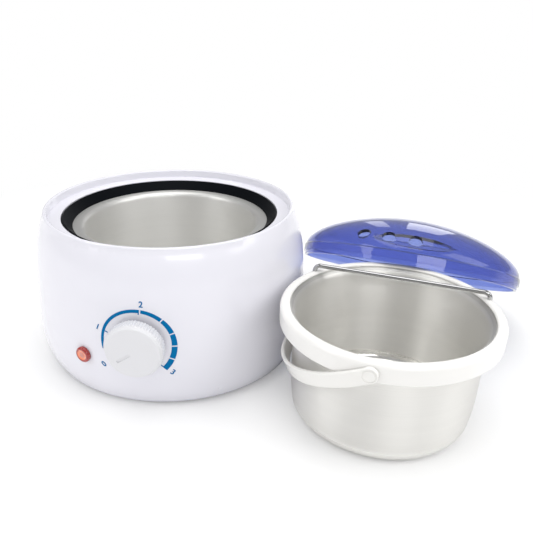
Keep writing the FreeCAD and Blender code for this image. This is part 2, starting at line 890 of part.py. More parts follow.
def casing_radius_at(height):
    """The casing's outside radius at a height below its belly."""
    share = (height - lower_flank_height) / (belly_height - lower_flank_height)
    return lower_flank_radius + (belly_radius - lower_flank_radius) * min(share, 1)


def at_lamp(shape):
    """Set a shape that is built along +Z into the casing's side at the lamp."""
    outwards = polar(1, lamp_angle)
    place = polar(casing_radius_at(lamp_height), lamp_angle, lamp_height)
    return aimed(shape, outwards).translated(place)


def at_gland(shape):
    """Set a shape that is built along +Z into the casing's back."""
    place = vec(0, casing_radius_at(gland_height), gland_height)
    return aimed(shape, Y_AXIS).translated(place)


def indicator_lens():
    """The lens: a crowned flange outside the wall and a hollow neck through it."""
    neck_bore_radius = lens_neck_radius - lens_wall
    crown_top = lens_flange_thickness + lens_crown
    lens = Outline(0, 0)
    lens.line(neck_bore_radius, 0)
    lens.line(neck_bore_radius, -lens_neck_length)
    lens.line(lens_neck_radius, -lens_neck_length)
    lens.line(lens_neck_radius, fixed_gap)
    lens.line(lens_flange_radius, fixed_gap)
    lens.line(lens_flange_radius, lens_flange_thickness)
    lens.arc(
        (lens_flange_radius - lens_crown * ARC_SHARE, crown_top - lens_crown * ARC_SHARE),
        (lens_flange_radius - lens_crown, crown_top),
    )
    lens.line(lens_eye_radius, crown_top - lens_eye_sink)
    lens.line(0, crown_top - lens_eye_sink / 2)
    return at_lamp(lens.turned())


def indicator_lamp():
    """The neon lamp in the lens's neck: a glass tube with a round nose."""
    nose = Part.makeSphere(lamp_radius, vec(0, 0, 0))
    tube = disc(lamp_radius, lamp_length, -lamp_length)
    lamp = tube.fuse(nose).removeSplitter()
    return at_lamp(lamp.translated(vec(0, 0, -lamp_radius - 2 * fixed_gap)))


def lamp_clip():
    """The push-on ring that holds the lens behind the wall."""
    ring = disc(lamp_clip_radius, lamp_clip_thickness).cut(
        disc(lens_neck_radius + running_gap, lamp_clip_thickness))
    inner_face = -casing_wall - lamp_clip_gap
    return at_lamp(ring.translated(vec(0, 0, inner_face - lamp_clip_thickness)))


def cable_gland():
    """The bush in the casing's back that a cable would come out of."""
    outer_seat = fixed_gap - gland_seat_depth
    flange_top = outer_seat + gland_flange_thickness
    inner_flange_top = -casing_wall - 2 * resting_gap
    gland = Outline(gland_bore_radius, inner_flange_top - gland_tail_length)
    gland.line(gland_tail_radius, inner_flange_top - gland_tail_length)
    gland.line(gland_neck_radius + gland_barb, inner_flange_top)
    gland.line(gland_neck_radius, inner_flange_top)
    gland.line(gland_neck_radius, outer_seat)
    gland.line(gland_flange_radius, outer_seat)
    gland.line(gland_flange_radius, flange_top - gland_flange_bevel)
    gland.line(gland_flange_radius - gland_flange_bevel, flange_top)
    gland.line(gland_bore_radius, flange_top)
    return at_gland(gland.turned())


def at_terminal_block(shape):
    """Set a shape on the base plate, its length across the radius."""
    place = polar(terminal_circle_radius, terminal_angle, plate_top)
    return shape.rotated(ORIGIN, Z_AXIS, terminal_angle).translated(place)


def terminal_places():
    step = terminal_length / terminal_way_count
    first = -terminal_length / 2 + step / 2
    return [first + number * step for number in range(terminal_way_count)]


def terminal_block():
    """The block of wire terminals, with a bore and a screw hole for each way."""
    block = Part.makeBox(
        terminal_depth, terminal_length, terminal_block_height,
        vec(-terminal_depth / 2, -terminal_length / 2, 0),
    )
    screw_hole_depth = terminal_block_height - terminal_bore_height
    cuts = []
    for place in terminal_places():
        wire_bore = aimed(disc(terminal_bore_radius, terminal_depth), X_AXIS)
        wire_bore = wire_bore.translated(vec(-terminal_depth / 2, place, terminal_bore_height))
        screw_bore = disc(terminal_screw_radius + fixed_gap, screw_hole_depth, terminal_bore_height)
        cuts += [wire_bore, screw_bore.translated(vec(0, place, 0))]
    return at_terminal_block(block.cut(cuts))


def terminal_screws():
    top = terminal_block_height - terminal_screw_sink
    slot = Part.makeBox(
        terminal_screw_radius * 2, terminal_slot_width, terminal_slot_width,
        vec(-terminal_screw_radius, -terminal_slot_width / 2, top - terminal_slot_width),
    )
    screw = disc(terminal_screw_radius, terminal_screw_length, top - terminal_screw_length).cut(slot)
    screws = [screw.translated(vec(0, place, 0)) for place in terminal_places()]
    return at_terminal_block(Part.makeCompound(screws))


# ---------------------------------------------------------------- wax pot, collar and scraper bar

def pot_form(inset):
    """The pot's outer form, or the form of its inside when inset is the sheet's thickness."""
    foot_inner_radius = pot_heel_radius - pot_foot_width
    wall_foot_radius = pot_belly_radius - pot_heel_tuck - inset
    heel_width = wall_foot_radius - pot_heel_radius
    heel_height = pot_heel_round - inset
    form = Outline(0, pot_floor_step + inset)
    form.line(foot_inner_radius - pot_floor_step, pot_floor_step + inset)
    form.line(foot_inner_radius, inset)
    form.line(pot_heel_radius, inset)
    form.arc(
        (wall_foot_radius - heel_width * ARC_SHARE, inset + heel_height * ARC_SHARE),
        (wall_foot_radius, pot_heel_round),
    )
    form.curve([
        (pot_belly_radius - inset, pot_belly_height),
        (pot_waist_radius - inset, pot_waist_height),
        (pot_neck_radius - inset, pot_wall_height),
    ])
    form.line(pot_neck_radius - inset, pot_flare_foot)
    flare_round = pot_flare_width + inset
    form.arc(
        (pot_rim_radius - flare_round * (1 - ARC_SHARE),
         pot_flare_foot + flare_round * (1 - ARC_SHARE)),
        (pot_rim_radius, pot_flare_foot + flare_round),
    )
    form_top = pot_flare_foot + pot_flare_width + 2 * pot_sheet
    form.line(pot_rim_radius, form_top)
    form.line(0, form_top)
    return form.turned()


def wax_pot():
    """The spun pot: a foot ring, a stepped floor, a bellied wall and a rim that rolls outwards."""
    return to_pot(pot_form(0).cut(pot_form(pot_sheet)))


def pot_collar():
    """The moulded collar: it follows the pot's flare and grips the rim's edge in a groove."""
    bottom = pot_wall_height
    play = drop_in_gap / 2
    groove_radius = pot_rim_radius + play
    groove_bottom = pot_flare_foot + pot_flare_width - play
    groove_top = pot_flare_foot + pot_flare_width + pot_sheet + play
    seat_round = pot_flare_width - play
    collar = Outline(pot_neck_radius + collar_foot_lip, bottom)
    collar.line(collar_radius - collar_foot_bevel, bottom)
    collar.line(collar_radius, bottom + collar_foot_bevel)
    collar.line(collar_radius, collar_top - collar_outer_round)
    collar.arc(
        (collar_radius - collar_outer_round * ARC_SHARE,
         collar_top - collar_outer_round * ARC_SHARE),
        (collar_radius - collar_outer_round, collar_top),
    )
    collar.line(collar_bore_radius + collar_inner_round, collar_top)
    collar.arc(
        (collar_bore_radius + collar_inner_round * ARC_SHARE,
         collar_top - collar_inner_round * ARC_SHARE),
        (collar_bore_radius, collar_top - collar_inner_round),
    )
    collar.line(collar_bore_radius, groove_top)
    collar.line(groove_radius, groove_top)
    collar.line(groove_radius, groove_bottom)
    collar.line(pot_rim_radius, groove_bottom)
    collar.arc(
        (pot_rim_radius - seat_round * (1 - ARC_SHARE),
         pot_flare_foot + seat_round * (1 - ARC_SHARE)),
        (pot_neck_radius + play, pot_flare_foot),
    )
    pin_hole = disc(pin_radius + pin_gap, collar_wall, pot_rim_radius)
    pin_holes = [at_bail_pivot(pin_hole, side) for side in (0, 180)]
    socket = disc(bar_wire_radius + pin_gap, bar_socket_depth, collar_top - bar_socket_depth)
    sockets = [socket.translated(place) for place in bar_ends()]
    return to_pot(collar.turned().cut(pin_holes + sockets))


def bar_ends():
    """Where the two ends of the scraper bar stand, from the pot's axis."""
    half_chord = math.sqrt(bar_socket_radius ** 2 - bar_offset ** 2)
    ends = [vec(bar_offset, side * half_chord, 0) for side in (-1, 1)]
    turn = FreeCAD.Rotation(Z_AXIS, bar_angle)
    return [turn.multVec(end) for end in ends]


def scraper_bar():
    """A wire that rises from one side of the collar, crosses the mouth and goes down again."""
    first, last = bar_ends()
    foot = collar_top - bar_socket_depth + fixed_gap
    along = (last - first).normalize()
    post_length = bar_height - bar_bend_radius - foot
    crossing = first.distanceToPoint(last) - 2 * bar_bend_radius
    side_axis = along.cross(Z_AXIS)
    pieces = []
    for end, inwards in ((first, along), (last, along * -1)):
        pieces.append(Part.makeCylinder(bar_wire_radius, post_length, end + vec(0, 0, foot)))
        elbow_foot = end + vec(0, 0, foot + post_length)
        section = Part.Face(Part.Wire(Part.makeCircle(bar_wire_radius, elbow_foot, Z_AXIS)))
        hinge = side_axis if inwards is along else side_axis * -1
        pieces.append(section.revolve(elbow_foot + inwards * bar_bend_radius, hinge * -1, 90))
    start = first + along * bar_bend_radius + vec(0, 0, bar_height)
    pieces.append(Part.makeCylinder(bar_wire_radius, crossing, start, along))
    return to_pot(pieces[0].fuse(pieces[1:]))


# ---------------------------------------------------------------- bail handle

def at_bail_pivot(shape, side):
    """Aim a shape that is built along +Z outwards along one of the two pivots."""
    outwards = polar(1, bail_angle + side)
    return aimed(shape, outwards).translated(vec(0, 0, bail_pivot_height))


def bail_ear_radius():
    return collar_radius + resting_gap


def bail_droop():
    """The angle below level at which the strap's lower edge comes to the pot's wall."""
    inner_reach = bail_reach - bail_strap_thickness / 2
    wall = max(pot_belly_radius, pot_waist_radius) + bail_wall_gap
    low, high = 0.0, 60.0
    for _ in range(SOLVER_STEPS):
        angle = math.radians((low + high) / 2)
        edge = inner_reach * math.cos(angle) - bail_strap_width / 2 * math.sin(angle)
        if edge > wall:
            low = (low + high) / 2
        else:
            high = (low + high) / 2
    return low


def bail_strap():
    """The level strap: half of an oval ring that stands on its edge, with round edges."""
    inner = bail_ear_radius()
    depth = bail_strap_thickness
    inner_reach = bail_reach - depth / 2
    outer_oval = Part.Ellipse(ORIGIN, inner_reach + depth, inner + depth).toShape()
    inner_oval = Part.Ellipse(ORIGIN, inner_reach, inner).toShape()
    ring = Part.Face(Part.Wire(outer_oval)).cut(Part.Face(Part.Wire(inner_oval)))
    ring = ring.extrude(vec(0, 0, bail_strap_width)).translated(vec(0, 0, -bail_strap_width / 2))
    rims = [edge for edge in ring.Edges if edge.BoundBox.ZLength < fixed_gap]
    ring = ring.makeFillet(bail_edge_round, rims)
    half = Part.makeBox(
        inner_reach * 2, inner * 3, bail_strap_width,
        vec(0, -inner * 1.5, -bail_strap_width / 2),
    )
    return ring.common(half)


def bail_ear():
    """One round ear along +Z, and the blind bore that snaps over its pin."""
    inner = bail_ear_radius()
    outer = inner + bail_strap_thickness
    ear = disc(bail_strap_width / 2, bail_strap_thickness, inner)
    ear_rim = [edge for edge in ear.Edges if edge.BoundBox.ZMin > outer - fixed_gap]
    ear = ear.makeFillet(bail_edge_round, ear_rim)
    return ear, disc(pin_radius + running_gap, outer - pin_cover)


def bail_handle():
    """The strap and its two round ears, turned down until it rests against the pot."""
    ear, bore = bail_ear()
    sides = (vec(0, -1, 0), vec(0, 1, 0))
    bail = bail_strap().fuse([aimed(ear, side) for side in sides])
    bail = bail.cut([aimed(bore, side) for side in sides])
    bail = bail.rotated(ORIGIN, Y_AXIS, bail_droop())
    bail = bail.rotated(ORIGIN, Z_AXIS, bail_angle - 90)
    return to_pot(bail.translated(vec(0, 0, bail_pivot_height)))


def bail_pins():
    """The two pins, fixed in the collar's wall, that the ears snap over."""
    inner_end = pot_rim_radius + fixed_gap
    outer_end = bail_ear_radius() + bail_strap_thickness - pin_cover - resting_gap
    pin = disc(pin_radius, outer_end - inner_end, inner_end)
    return to_pot(Part.makeCompound([at_bail_pivot(pin, side) for side in (0, 180)]))


# ---------------------------------------------------------------- lid

def dome_points(radius, height, foot):
    """Points of the dome's curve, from its foot to its top."""
    points = []
    for share in (0.08, 0.2, 0.36, 0.55, 0.75, 0.92):
        reach = radius * (1 - share ** lid_dome_power) ** (1 / lid_dome_power)
        points.append((reach, foot + height * share))
    points.append((0, foot + height))
    return points


def dome_radius_at(rise):
    """The dome's outside radius at a rise above the flange's top."""
    share = rise / lid_dome_height
    return lid_base_radius * (1 - share ** lid_dome_power) ** (1 / lid_dome_power)


def lid_outside():
    foot = lid_flange_height
    outline = Outline(0, -lid_skirt_depth)
    outline.line(lid_skirt_radius, -lid_skirt_depth)
    outline.line(lid_skirt_radius, 0)
    outline.line(lid_radius, 0)
    outline.line(lid_radius, foot - lid_flange_step)
    outline.line(lid_base_radius, foot)
    outline.curve(dome_points(lid_base_radius, lid_dome_height, foot))
    return outline.turned()


def lid_hollow():
    foot = lid_flange_height - lid_wall / 2
    top = lid_flange_height + lid_dome_height - lid_wall
    inner_radius = lid_skirt_radius - lid_wall
    outline = Outline(0, -lid_skirt_depth)
    outline.line(inner_radius, -lid_skirt_depth)
    outline.line(inner_radius, foot)
    outline.curve(dome_points(inner_radius, top - foot, foot))
    return outline.turned()


def along(corner, point, share):
    """The place that lies a share of the way from a corner through a point."""
    return corner + (point - corner) * share


def notch_tool(wall):
    """The finger notch: a ledge and a low back, swept on a flat arc so that its ends run out.

    With a wall it is the notch's shell, which keeps the lid as thick there as elsewhere.
    """
    foot = lid_flange_height
    corner = vec(
        dome_radius_at(notch_back_height) - notch_back_depth, 0, foot + notch_back_height,
    )
    ledge_edge = vec(dome_radius_at(notch_foot_height), 0, foot + notch_foot_height)
    back_edge = vec(dome_radius_at(notch_top_height), 0, foot + notch_top_height)
    ledge_end = along(corner, ledge_edge, 2)
    back_end = along(corner, back_edge, 2)
    outer_end = vec(ledge_end.x, 0, back_end.z)
    section = Part.Face(Part.makePolygon([corner, ledge_end, outer_end, back_end, corner]))
    if wall:
        section = section.makeOffset2D(wall, 2)
    path_centre = vec(corner.x - notch_path_radius, 0, 0)
    start = section.rotated(path_centre, Z_AXIS, -notch_sweep_angle / 2)
    tool = start.revolve(path_centre, Z_AXIS, notch_sweep_angle)
    return tool.rotated(ORIGIN, Z_AXIS, notch_middle_angle)


def vent_hole(number):
    """One vent through the dome above the notch, square to the dome."""
    tool = disc(vent_hole_radius, lid_wall * 8, -lid_wall * 4)
    tool = aimed(tool, vec(1, 0, math.tan(math.radians(vent_hole_tilt_angle))))
    reach = dome_radius_at(vent_hole_height)
    tool = tool.translated(vec(reach, 0, lid_flange_height + vent_hole_height))
    middle = (vent_hole_count - 1) / 2
    return tool.rotated(ORIGIN, Z_AXIS, (number - middle) * vent_hole_pitch_angle)


def lid_in_own_frame():
    """The lid flat on its flange plane, with its vents towards +X."""
    outside = lid_outside().cut(notch_tool(0))
    hollow = lid_hollow().cut(notch_tool(lid_wall))
    shell = outside.cut(hollow)
    return shell.cut([vent_hole(number) for number in range(vent_hole_count)])


def skirt_edge_points(lean):
    """Points of the skirt's lower edges when the lid leans by an angle, from the pot's axis."""
    tilt = math.radians(lean)
    near_edge = collar_radius - lid_overhang
    centre = near_edge + lid_skirt_radius * math.cos(tilt) + lid_skirt_depth * math.sin(tilt)
    centre_height = lid_skirt_radius * math.sin(tilt) + lid_skirt_depth * math.cos(tilt)
    points = []
    for radius in (lid_skirt_radius, lid_skirt_radius - lid_wall):
        for degree in range(360):
            turn = math.radians(degree)
            ahead = radius * math.cos(turn)
            across = radius * math.sin(turn) + lid_side_shift
            distance = centre + ahead * math.cos(tilt) - lid_skirt_depth * math.sin(tilt)
            height = centre_height - ahead * math.sin(tilt) - lid_skirt_depth * math.cos(tilt)
            points.append((distance, across, height))
    return points, centre, centre_height


def collar_gap(lean):
    """The least height of the skirt above the collar, where one passes over the other."""
    points, centre, centre_height = skirt_edge_points(lean)
    over = [
        height for distance, across, height in points
        if math.hypot(distance, across) < collar_radius - collar_outer_round / 2
    ]
    return min(over) - collar_top


def lid_lean():
    """The lean at which the skirt just clears the collar while its far edge is on the table."""
    low, high = 5.0, 60.0
    for _ in range(SOLVER_STEPS):
        middle = (low + high) / 2
        if collar_gap(middle) < resting_gap:
            low = middle
        else:
            high = middle
    return high


def lid_dome():
    """The lid where it leans: its near edge on the collar and its far edge on the table."""
    lean = lid_lean()
    points, centre, centre_height = skirt_edge_points(lean)
    lid = lid_in_own_frame().rotated(ORIGIN, Z_AXIS, 180 + lid_spin_angle)
    lid = lid.rotated(ORIGIN, Y_AXIS, lean)
    lid = lid.translated(vec(centre, lid_side_shift, centre_height))
    return to_pot(lid.rotated(ORIGIN, Z_AXIS, lid_angle))


# ---------------------------------------------------------------- build

PIECES = [
    outer_casing, base_plate, rubber_feet, base_screws,
    heating_well, well_screws, seal_ring,
    heating_band, band_clamp, clamp_screw,
    thermal_fuse, fuse_clip, fuse_nut,
    thermostat_body, thermostat_bracket, thermostat_nut, control_shaft, control_knob,
    indicator_lens, indicator_lamp, lamp_clip, cable_gland,
    terminal_block, terminal_screws,
    wax_pot, pot_collar, scraper_bar, bail_pins, bail_handle,
    lid_dome,
]

os.makedirs("parts", exist_ok=True)
for piece in PIECES:
    save(piece.__name__, piece())
print("bail droop", round(bail_droop(), 2), "lid lean", round(lid_lean(), 2))
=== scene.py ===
"""The wax melter's finishes, its printed dial, and the plain studio that it stands in.

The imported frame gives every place. Lengths are metres: +Z is up, -Y is the knob's side, and the
heater's axis is the Z axis. Each sub-assembly is a class that holds its own sizes, builds what the
frame lacks and dresses all of its pieces.
"""

import json
import logging
import math
from dataclasses import dataclass, replace
from enum import Enum
from typing import Dict, Iterable, Optional, Sequence, Tuple

import bpy
from mathutils import Matrix, Vector


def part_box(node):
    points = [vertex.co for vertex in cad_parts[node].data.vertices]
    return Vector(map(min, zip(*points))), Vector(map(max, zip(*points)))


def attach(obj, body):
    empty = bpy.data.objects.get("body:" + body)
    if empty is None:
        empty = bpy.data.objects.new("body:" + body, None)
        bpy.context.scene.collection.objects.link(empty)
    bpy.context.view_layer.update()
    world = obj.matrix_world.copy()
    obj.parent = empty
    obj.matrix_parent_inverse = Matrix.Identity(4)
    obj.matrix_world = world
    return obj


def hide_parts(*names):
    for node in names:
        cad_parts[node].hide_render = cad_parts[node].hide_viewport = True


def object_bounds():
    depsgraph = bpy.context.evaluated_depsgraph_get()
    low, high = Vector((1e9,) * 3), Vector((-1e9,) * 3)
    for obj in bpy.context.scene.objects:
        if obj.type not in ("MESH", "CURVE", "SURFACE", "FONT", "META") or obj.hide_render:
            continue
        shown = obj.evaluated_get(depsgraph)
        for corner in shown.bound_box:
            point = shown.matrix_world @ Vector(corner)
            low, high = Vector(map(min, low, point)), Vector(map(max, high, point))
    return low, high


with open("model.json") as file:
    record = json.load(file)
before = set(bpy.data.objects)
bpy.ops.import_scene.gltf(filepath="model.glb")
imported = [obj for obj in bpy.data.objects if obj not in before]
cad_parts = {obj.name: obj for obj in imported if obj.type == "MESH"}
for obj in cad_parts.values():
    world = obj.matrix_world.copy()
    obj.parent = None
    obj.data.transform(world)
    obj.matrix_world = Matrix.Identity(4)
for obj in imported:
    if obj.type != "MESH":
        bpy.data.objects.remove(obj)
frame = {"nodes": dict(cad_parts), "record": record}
CAD_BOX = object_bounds()

Colour = Tuple[float, float, float]
Place = Tuple[float, float, float]
Piece = bpy.types.Object

LOG = logging.getLogger("wax_melter")
MM = 0.001
WELD_GAP = 0.5e-6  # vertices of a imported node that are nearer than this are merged
SMOOTH_ANGLE = 32.0  # in degrees; edges that are sharper than this stay sharp
PLASTIC_IOR = 1.49
WHITE: Colour = (1.0, 1.0, 1.0)
Y_AXIS: Place = (0.0, 1.0, 0.0)


class Body(Enum):
    """The bodies that move as one."""

    HEATER = "heater"
    KNOB = "knob"
    POT = "pot"
    BAIL = "bail"
    LID = "lid"


# --------------------------------------------------------------------------- the work bench


class Bench:
    """Adds, shapes and finishes meshes with Blender's own tools."""

    @staticmethod
    def clear() -> None:
        """Deselects everything."""
        bpy.ops.object.select_all(action="DESELECT")

    @staticmethod
    def pick(piece: Piece) -> None:
        """Makes one piece the only selected and the active one.

        Args:
            piece: The piece to pick.
        """
        Bench.clear()
        piece.select_set(True)
        bpy.context.view_layer.objects.active = piece

    @staticmethod
    def edit(piece: Piece) -> None:
        """Opens a piece in edit mode with all of it selected.

        Args:
            piece: The piece to open.
        """
        Bench.pick(piece)
        bpy.ops.object.mode_set(mode="EDIT")
        bpy.ops.mesh.select_all(action="SELECT")

    @staticmethod
    def close() -> None:
        """Goes back to object mode."""
        bpy.ops.object.mode_set(mode="OBJECT")

    @staticmethod
    def settle(piece: Piece) -> Piece:
        """Puts a piece's place into its mesh, so that its object lies at the origin.

        Args:
            piece: The piece, wherever it stands.

        Returns:
            The same piece.
        """
        Bench.pick(piece)
        bpy.ops.object.transform_apply(location=True, rotation=True, scale=True)
        return piece

    @staticmethod
    def smooth(piece: Piece, degrees: float = SMOOTH_ANGLE) -> Piece:
        """Shades a piece smooth, apart from its sharp edges.

        Args:
            piece: The piece to shade.
            degrees: Edges sharper than this stay sharp.

        Returns:
            The same piece.
        """
        Bench.pick(piece)
        bpy.ops.object.shade_smooth_by_angle(angle=math.radians(degrees))
        return piece

    @staticmethod
    def modify(piece: Piece, kind: str, **settings: object) -> None:
        """Adds one modifier to a piece and applies it.

        Args:
            piece: The mesh to change.
            kind: Blender's name for the modifier's type.
            settings: Values for the modifier's own properties.
        """
        Bench.pick(piece)
        modifier = piece.modifiers.new(kind.lower(), kind)
        for name, value in settings.items():
            setattr(modifier, name, value)
        bpy.ops.object.modifier_apply(modifier=modifier.name)

    @staticmethod
    def smooth_copy(node: str, name: str, degrees: float = SMOOTH_ANGLE) -> Piece:
        """Makes a merged, smooth-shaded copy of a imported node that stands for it.

        Args:
            node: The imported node's name.
            name: The new piece's name.
            degrees: Edges sharper than this stay sharp.

        Returns:
            The new piece.
        """
        source = frame["nodes"][node]
        piece = bpy.data.objects.new(name, source.data.copy())
        bpy.context.scene.collection.objects.link(piece)
        piece.data.materials.clear()
        Bench.pick(piece)
        bpy.ops.mesh.customdata_custom_splitnormals_clear()
        Bench.edit(piece)
        bpy.ops.mesh.remove_doubles(threshold=WELD_GAP)
        bpy.ops.mesh.mark_sharp(clear=True)
        Bench.close()
        return Bench.smooth(piece, degrees)

    @staticmethod
    def line(name: str, points: Sequence[Vector]) -> Piece:
        """Draws a run of edges: one vertex, extruded from point to point.

        Args:
            name: The piece's name.
            points: Where the run passes, in order.

        Returns:
            The piece, which has edges only.
        """
        Bench.clear()
        bpy.ops.mesh.primitive_plane_add(size=MM, location=(0.0, 0.0, 0.0))
        piece = bpy.context.object
        piece.name = name
        Bench.edit(piece)
        bpy.ops.mesh.merge(type="CENTER")
        bpy.ops.transform.translate(value=points[0])
        for before, after in zip(points, points[1:]):
            bpy.ops.mesh.extrude_vertices_move(TRANSFORM_OT_translate={"value": after - before})
        Bench.close()
        return piece


# --------------------------------------------------------------------------- node graphs


class Graph:
    """A node tree that is filled one node at a time.

    The names of a Mix node's sockets repeat, so they are taken by number: 0 is the share, 2 and 3
    are its values with output 0, and 6 and 7 are its colours with output 2.
    """

    def __init__(self, tree: bpy.types.NodeTree) -> None:
        """Takes the tree to fill."""
        self.tree = tree

    def add(
        self,
        kind: str,
        values: Optional[Dict[object, object]] = None,
        **settings: object,
    ) -> bpy.types.Node:
        """Adds a node.

        Args:
            kind: The node's Blender type.
            values: What goes into its inputs, by name or number: a value or another socket.
            settings: Values for the node's own properties.

        Returns:
            The node.
        """
        node = self.tree.nodes.new(kind)
        for name, value in settings.items():
            setattr(node, name, value)
        for key, value in (values or {}).items():
            if isinstance(value, bpy.types.NodeSocket):
                self.tree.links.new(value, node.inputs[key])
            else:
                node.inputs[key].default_value = value
        return node

    def use(self, group: bpy.types.NodeTree, **values: object) -> bpy.types.Node:
        """Adds a node group with its inputs' values, named with underscores for spaces."""
        named = {name.replace("_", " "): value for name, value in values.items()}
        return self.add("ShaderNodeGroup", named, node_tree=group)

    def feed(self, node: bpy.types.Node, **sockets: bpy.types.NodeSocket) -> None:
        """Links sockets to a node's inputs, named with underscores for spaces."""
        for name, socket in sockets.items():
            self.tree.links.new(socket, node.inputs[name.replace("_", " ")])

    def math(self, operation: str, first: object, second: object) -> bpy.types.NodeSocket:
        """Adds a calculation with two values and returns its output."""
        return self.add("ShaderNodeMath", {0: first, 1: second}, operation=operation).outputs[0]

    def vector(self, operation: str, first: object, second: object) -> bpy.types.NodeSocket:
        """Adds a calculation with two vectors and returns its vector output."""
        node = self.add("ShaderNodeVectorMath", {0: first, 1: second}, operation=operation)
        return node.outputs[0]

    def length(self, vector: bpy.types.NodeSocket) -> bpy.types.NodeSocket:
        """Adds the length of a vector and returns its output."""
        return self.add("ShaderNodeVectorMath", {0: vector}, operation="LENGTH").outputs[1]

    def spread(
        self, value: object, low: float, high: float, start: float = 0.0, stop: float = 1.0
    ) -> bpy.types.NodeSocket:
        """Stretches a range of a value to another range, and clamps it there.

        Args:
            value: The value, or the socket that gives it.
            low: What comes out at the start.
            high: What comes out at the stop.
            start: Where the value's range starts.
            stop: Where it stops.

        Returns:
            The output of the node.
        """
        values = {"Value": value, "From Min": start, "From Max": stop,
                  "To Min": low, "To Max": high}
        return self.add("ShaderNodeMapRange", values).outputs[0]

    def mix(
        self, share: object, first: object, second: object, blend: str = "MIX"
    ) -> bpy.types.NodeSocket:
        """Mixes two colours by a share and returns the colour output."""
        values = {0: share, 6: first, 7: second}
        return self.add("ShaderNodeMix", values, data_type="RGBA", blend_type=blend).outputs[2]

    def mix_values(self, share: object, first: object, second: object) -> bpy.types.NodeSocket:
        """Mixes two values by a share and returns the value output."""
        return self.add("ShaderNodeMix", {0: share, 2: first, 3: second}).outputs[0]

    def noise(
        self, place: object, scale: object, detail: float = 2.0, **settings: object
    ) -> bpy.types.NodeSocket:
        """Adds a noise texture and returns its value output."""
        values = {"Vector": place, "Scale": scale, "Detail": detail}
        return self.add("ShaderNodeTexNoise", values, **settings).outputs[0]


def rgba(colour: Colour) -> Tuple[float, float, float, float]:
    """Gives a colour its alpha of 1."""
    return (*colour, 1.0)


def shade(colour: Colour, factor: float) -> Colour:
    """Makes a colour darker or lighter by a factor."""
    return (colour[0] * factor, colour[1] * factor, colour[2] * factor)


@dataclass
class SharedEffects:
    """The node groups that more than one finish uses, each built once.

    A scale is in cells of noise per metre, and a span is the range of a noise's value that is
    stretched to run from 0 to 1.
    """

    peel_share: float = 0.35
    wave_scale: float = 38.0
    smudge_scale: float = 55.0
    smudge_span: Tuple[float, float] = (0.42, 0.72)
    drift_scale: float = 9.0
    middle_span: Tuple[float, float] = (0.3, 0.7)
    band_scale: float = 170.0
    grain_scale: float = 2600.0
    scuff_roughness: float = 0.7
    scuff_span: Tuple[float, float] = (0.55, 0.75)
    uneven_scale: float = 60.0

    def __post_init__(self) -> None:
        """Builds the groups."""
        self.mould_skin = self._mould_skin()
        self.spun_rings = self._spun_rings()
        self.wear = self._wear()

    @staticmethod
    def _group(
        name: str, scale: str, outputs: Iterable[str]
    ) -> Tuple[Graph, Dict[str, bpy.types.NodeSocket], bpy.types.Node]:
        """Starts a group that takes a place and a scale.

        Args:
            name: The group's name.
            scale: The name of its scale input.
            outputs: The names of its value outputs.

        Returns:
            The group's graph, its inputs by name, and its output node.
        """
        tree = bpy.data.node_groups.new(name, "ShaderNodeTree")
        tree.interface.new_socket("Place", in_out="INPUT", socket_type="NodeSocketVector")
        tree.interface.new_socket(scale, in_out="INPUT", socket_type="NodeSocketFloat")
        for label in outputs:
            tree.interface.new_socket(label, in_out="OUTPUT", socket_type="NodeSocketFloat")
        graph = Graph(tree)
        return graph, graph.add("NodeGroupInput").outputs, graph.add("NodeGroupOutput")

    def _mould_skin(self) -> bpy.types.NodeTree:
        """Builds the skin of a glossy moulding: a faint orange peel, slow waves and smudges.

        Returns:
            The group.
        """
        graph, given, made = self._group("mould skin", "Peel Scale", ("Height", "Smudge", "Drift"))
        place = given["Place"]
        peel = graph.noise(place, given["Peel Scale"], detail=1.0)
        waves = graph.noise(place, self.wave_scale, detail=1.0)
        smudge = graph.noise(place, self.smudge_scale, detail=5.0)
        drift = graph.noise(place, self.drift_scale)
        graph.feed(
            made,
            Height=graph.math("ADD", graph.math("MULTIPLY", peel, self.peel_share), waves),
            Smudge=graph.spread(smudge, 0.0, 1.0, *self.smudge_span),
            Drift=graph.spread(drift, 0.0, 1.0, *self.middle_span),
        )
        return graph.tree

    def _spun_rings(self) -> bpy.types.NodeTree:
        """Builds the marks of a spinning tool: fine rings about the Z axis of the given place.

        Returns:
            The group.
        """
        graph, given, made = self._group(
            "spun rings", "Ring Scale", ("Height", "Rings", "Bands", "Grain"),
        )
        parts = graph.add("ShaderNodeSeparateXYZ", {0: given["Place"]}).outputs
        flat = graph.add("ShaderNodeCombineXYZ", {0: parts[0], 1: parts[1], 2: 0.0}).outputs[0]
        radius = graph.length(flat)
        section = graph.add("ShaderNodeCombineXYZ", {0: radius, 1: parts[2]}).outputs[0]
        rings = graph.noise(section, given["Ring Scale"], detail=3.0, noise_dimensions="2D")
        bands = graph.noise(section, self.band_scale, detail=1.0, noise_dimensions="2D")
        graph.feed(
            made,
            Height=rings,
            Rings=graph.spread(rings, 0.0, 1.0, *self.middle_span),
            Bands=graph.spread(bands, 0.0, 1.0, *self.middle_span),
            Grain=graph.noise(given["Place"], self.grain_scale),
        )
        return graph.tree

    def _wear(self) -> bpy.types.NodeTree:
        """Builds handling marks: sparse scuffs and a general unevenness.

        Returns:
            The group.
        """
        graph, given, made = self._group("wear", "Scuff Scale", ("Scuff", "Uneven", "Height"))
        scuffs = graph.noise(given["Place"], given["Scuff Scale"], detail=6.0)
        scuffs.node.inputs["Roughness"].default_value = self.scuff_roughness
        graph.feed(
            made,
            Scuff=graph.spread(scuffs, 0.0, 1.0, *self.scuff_span),
            Uneven=graph.noise(given["Place"], self.uneven_scale, detail=3.0),
            Height=scuffs,
        )
        return graph.tree


EFFECTS = SharedEffects()


# --------------------------------------------------------------------------- finishes


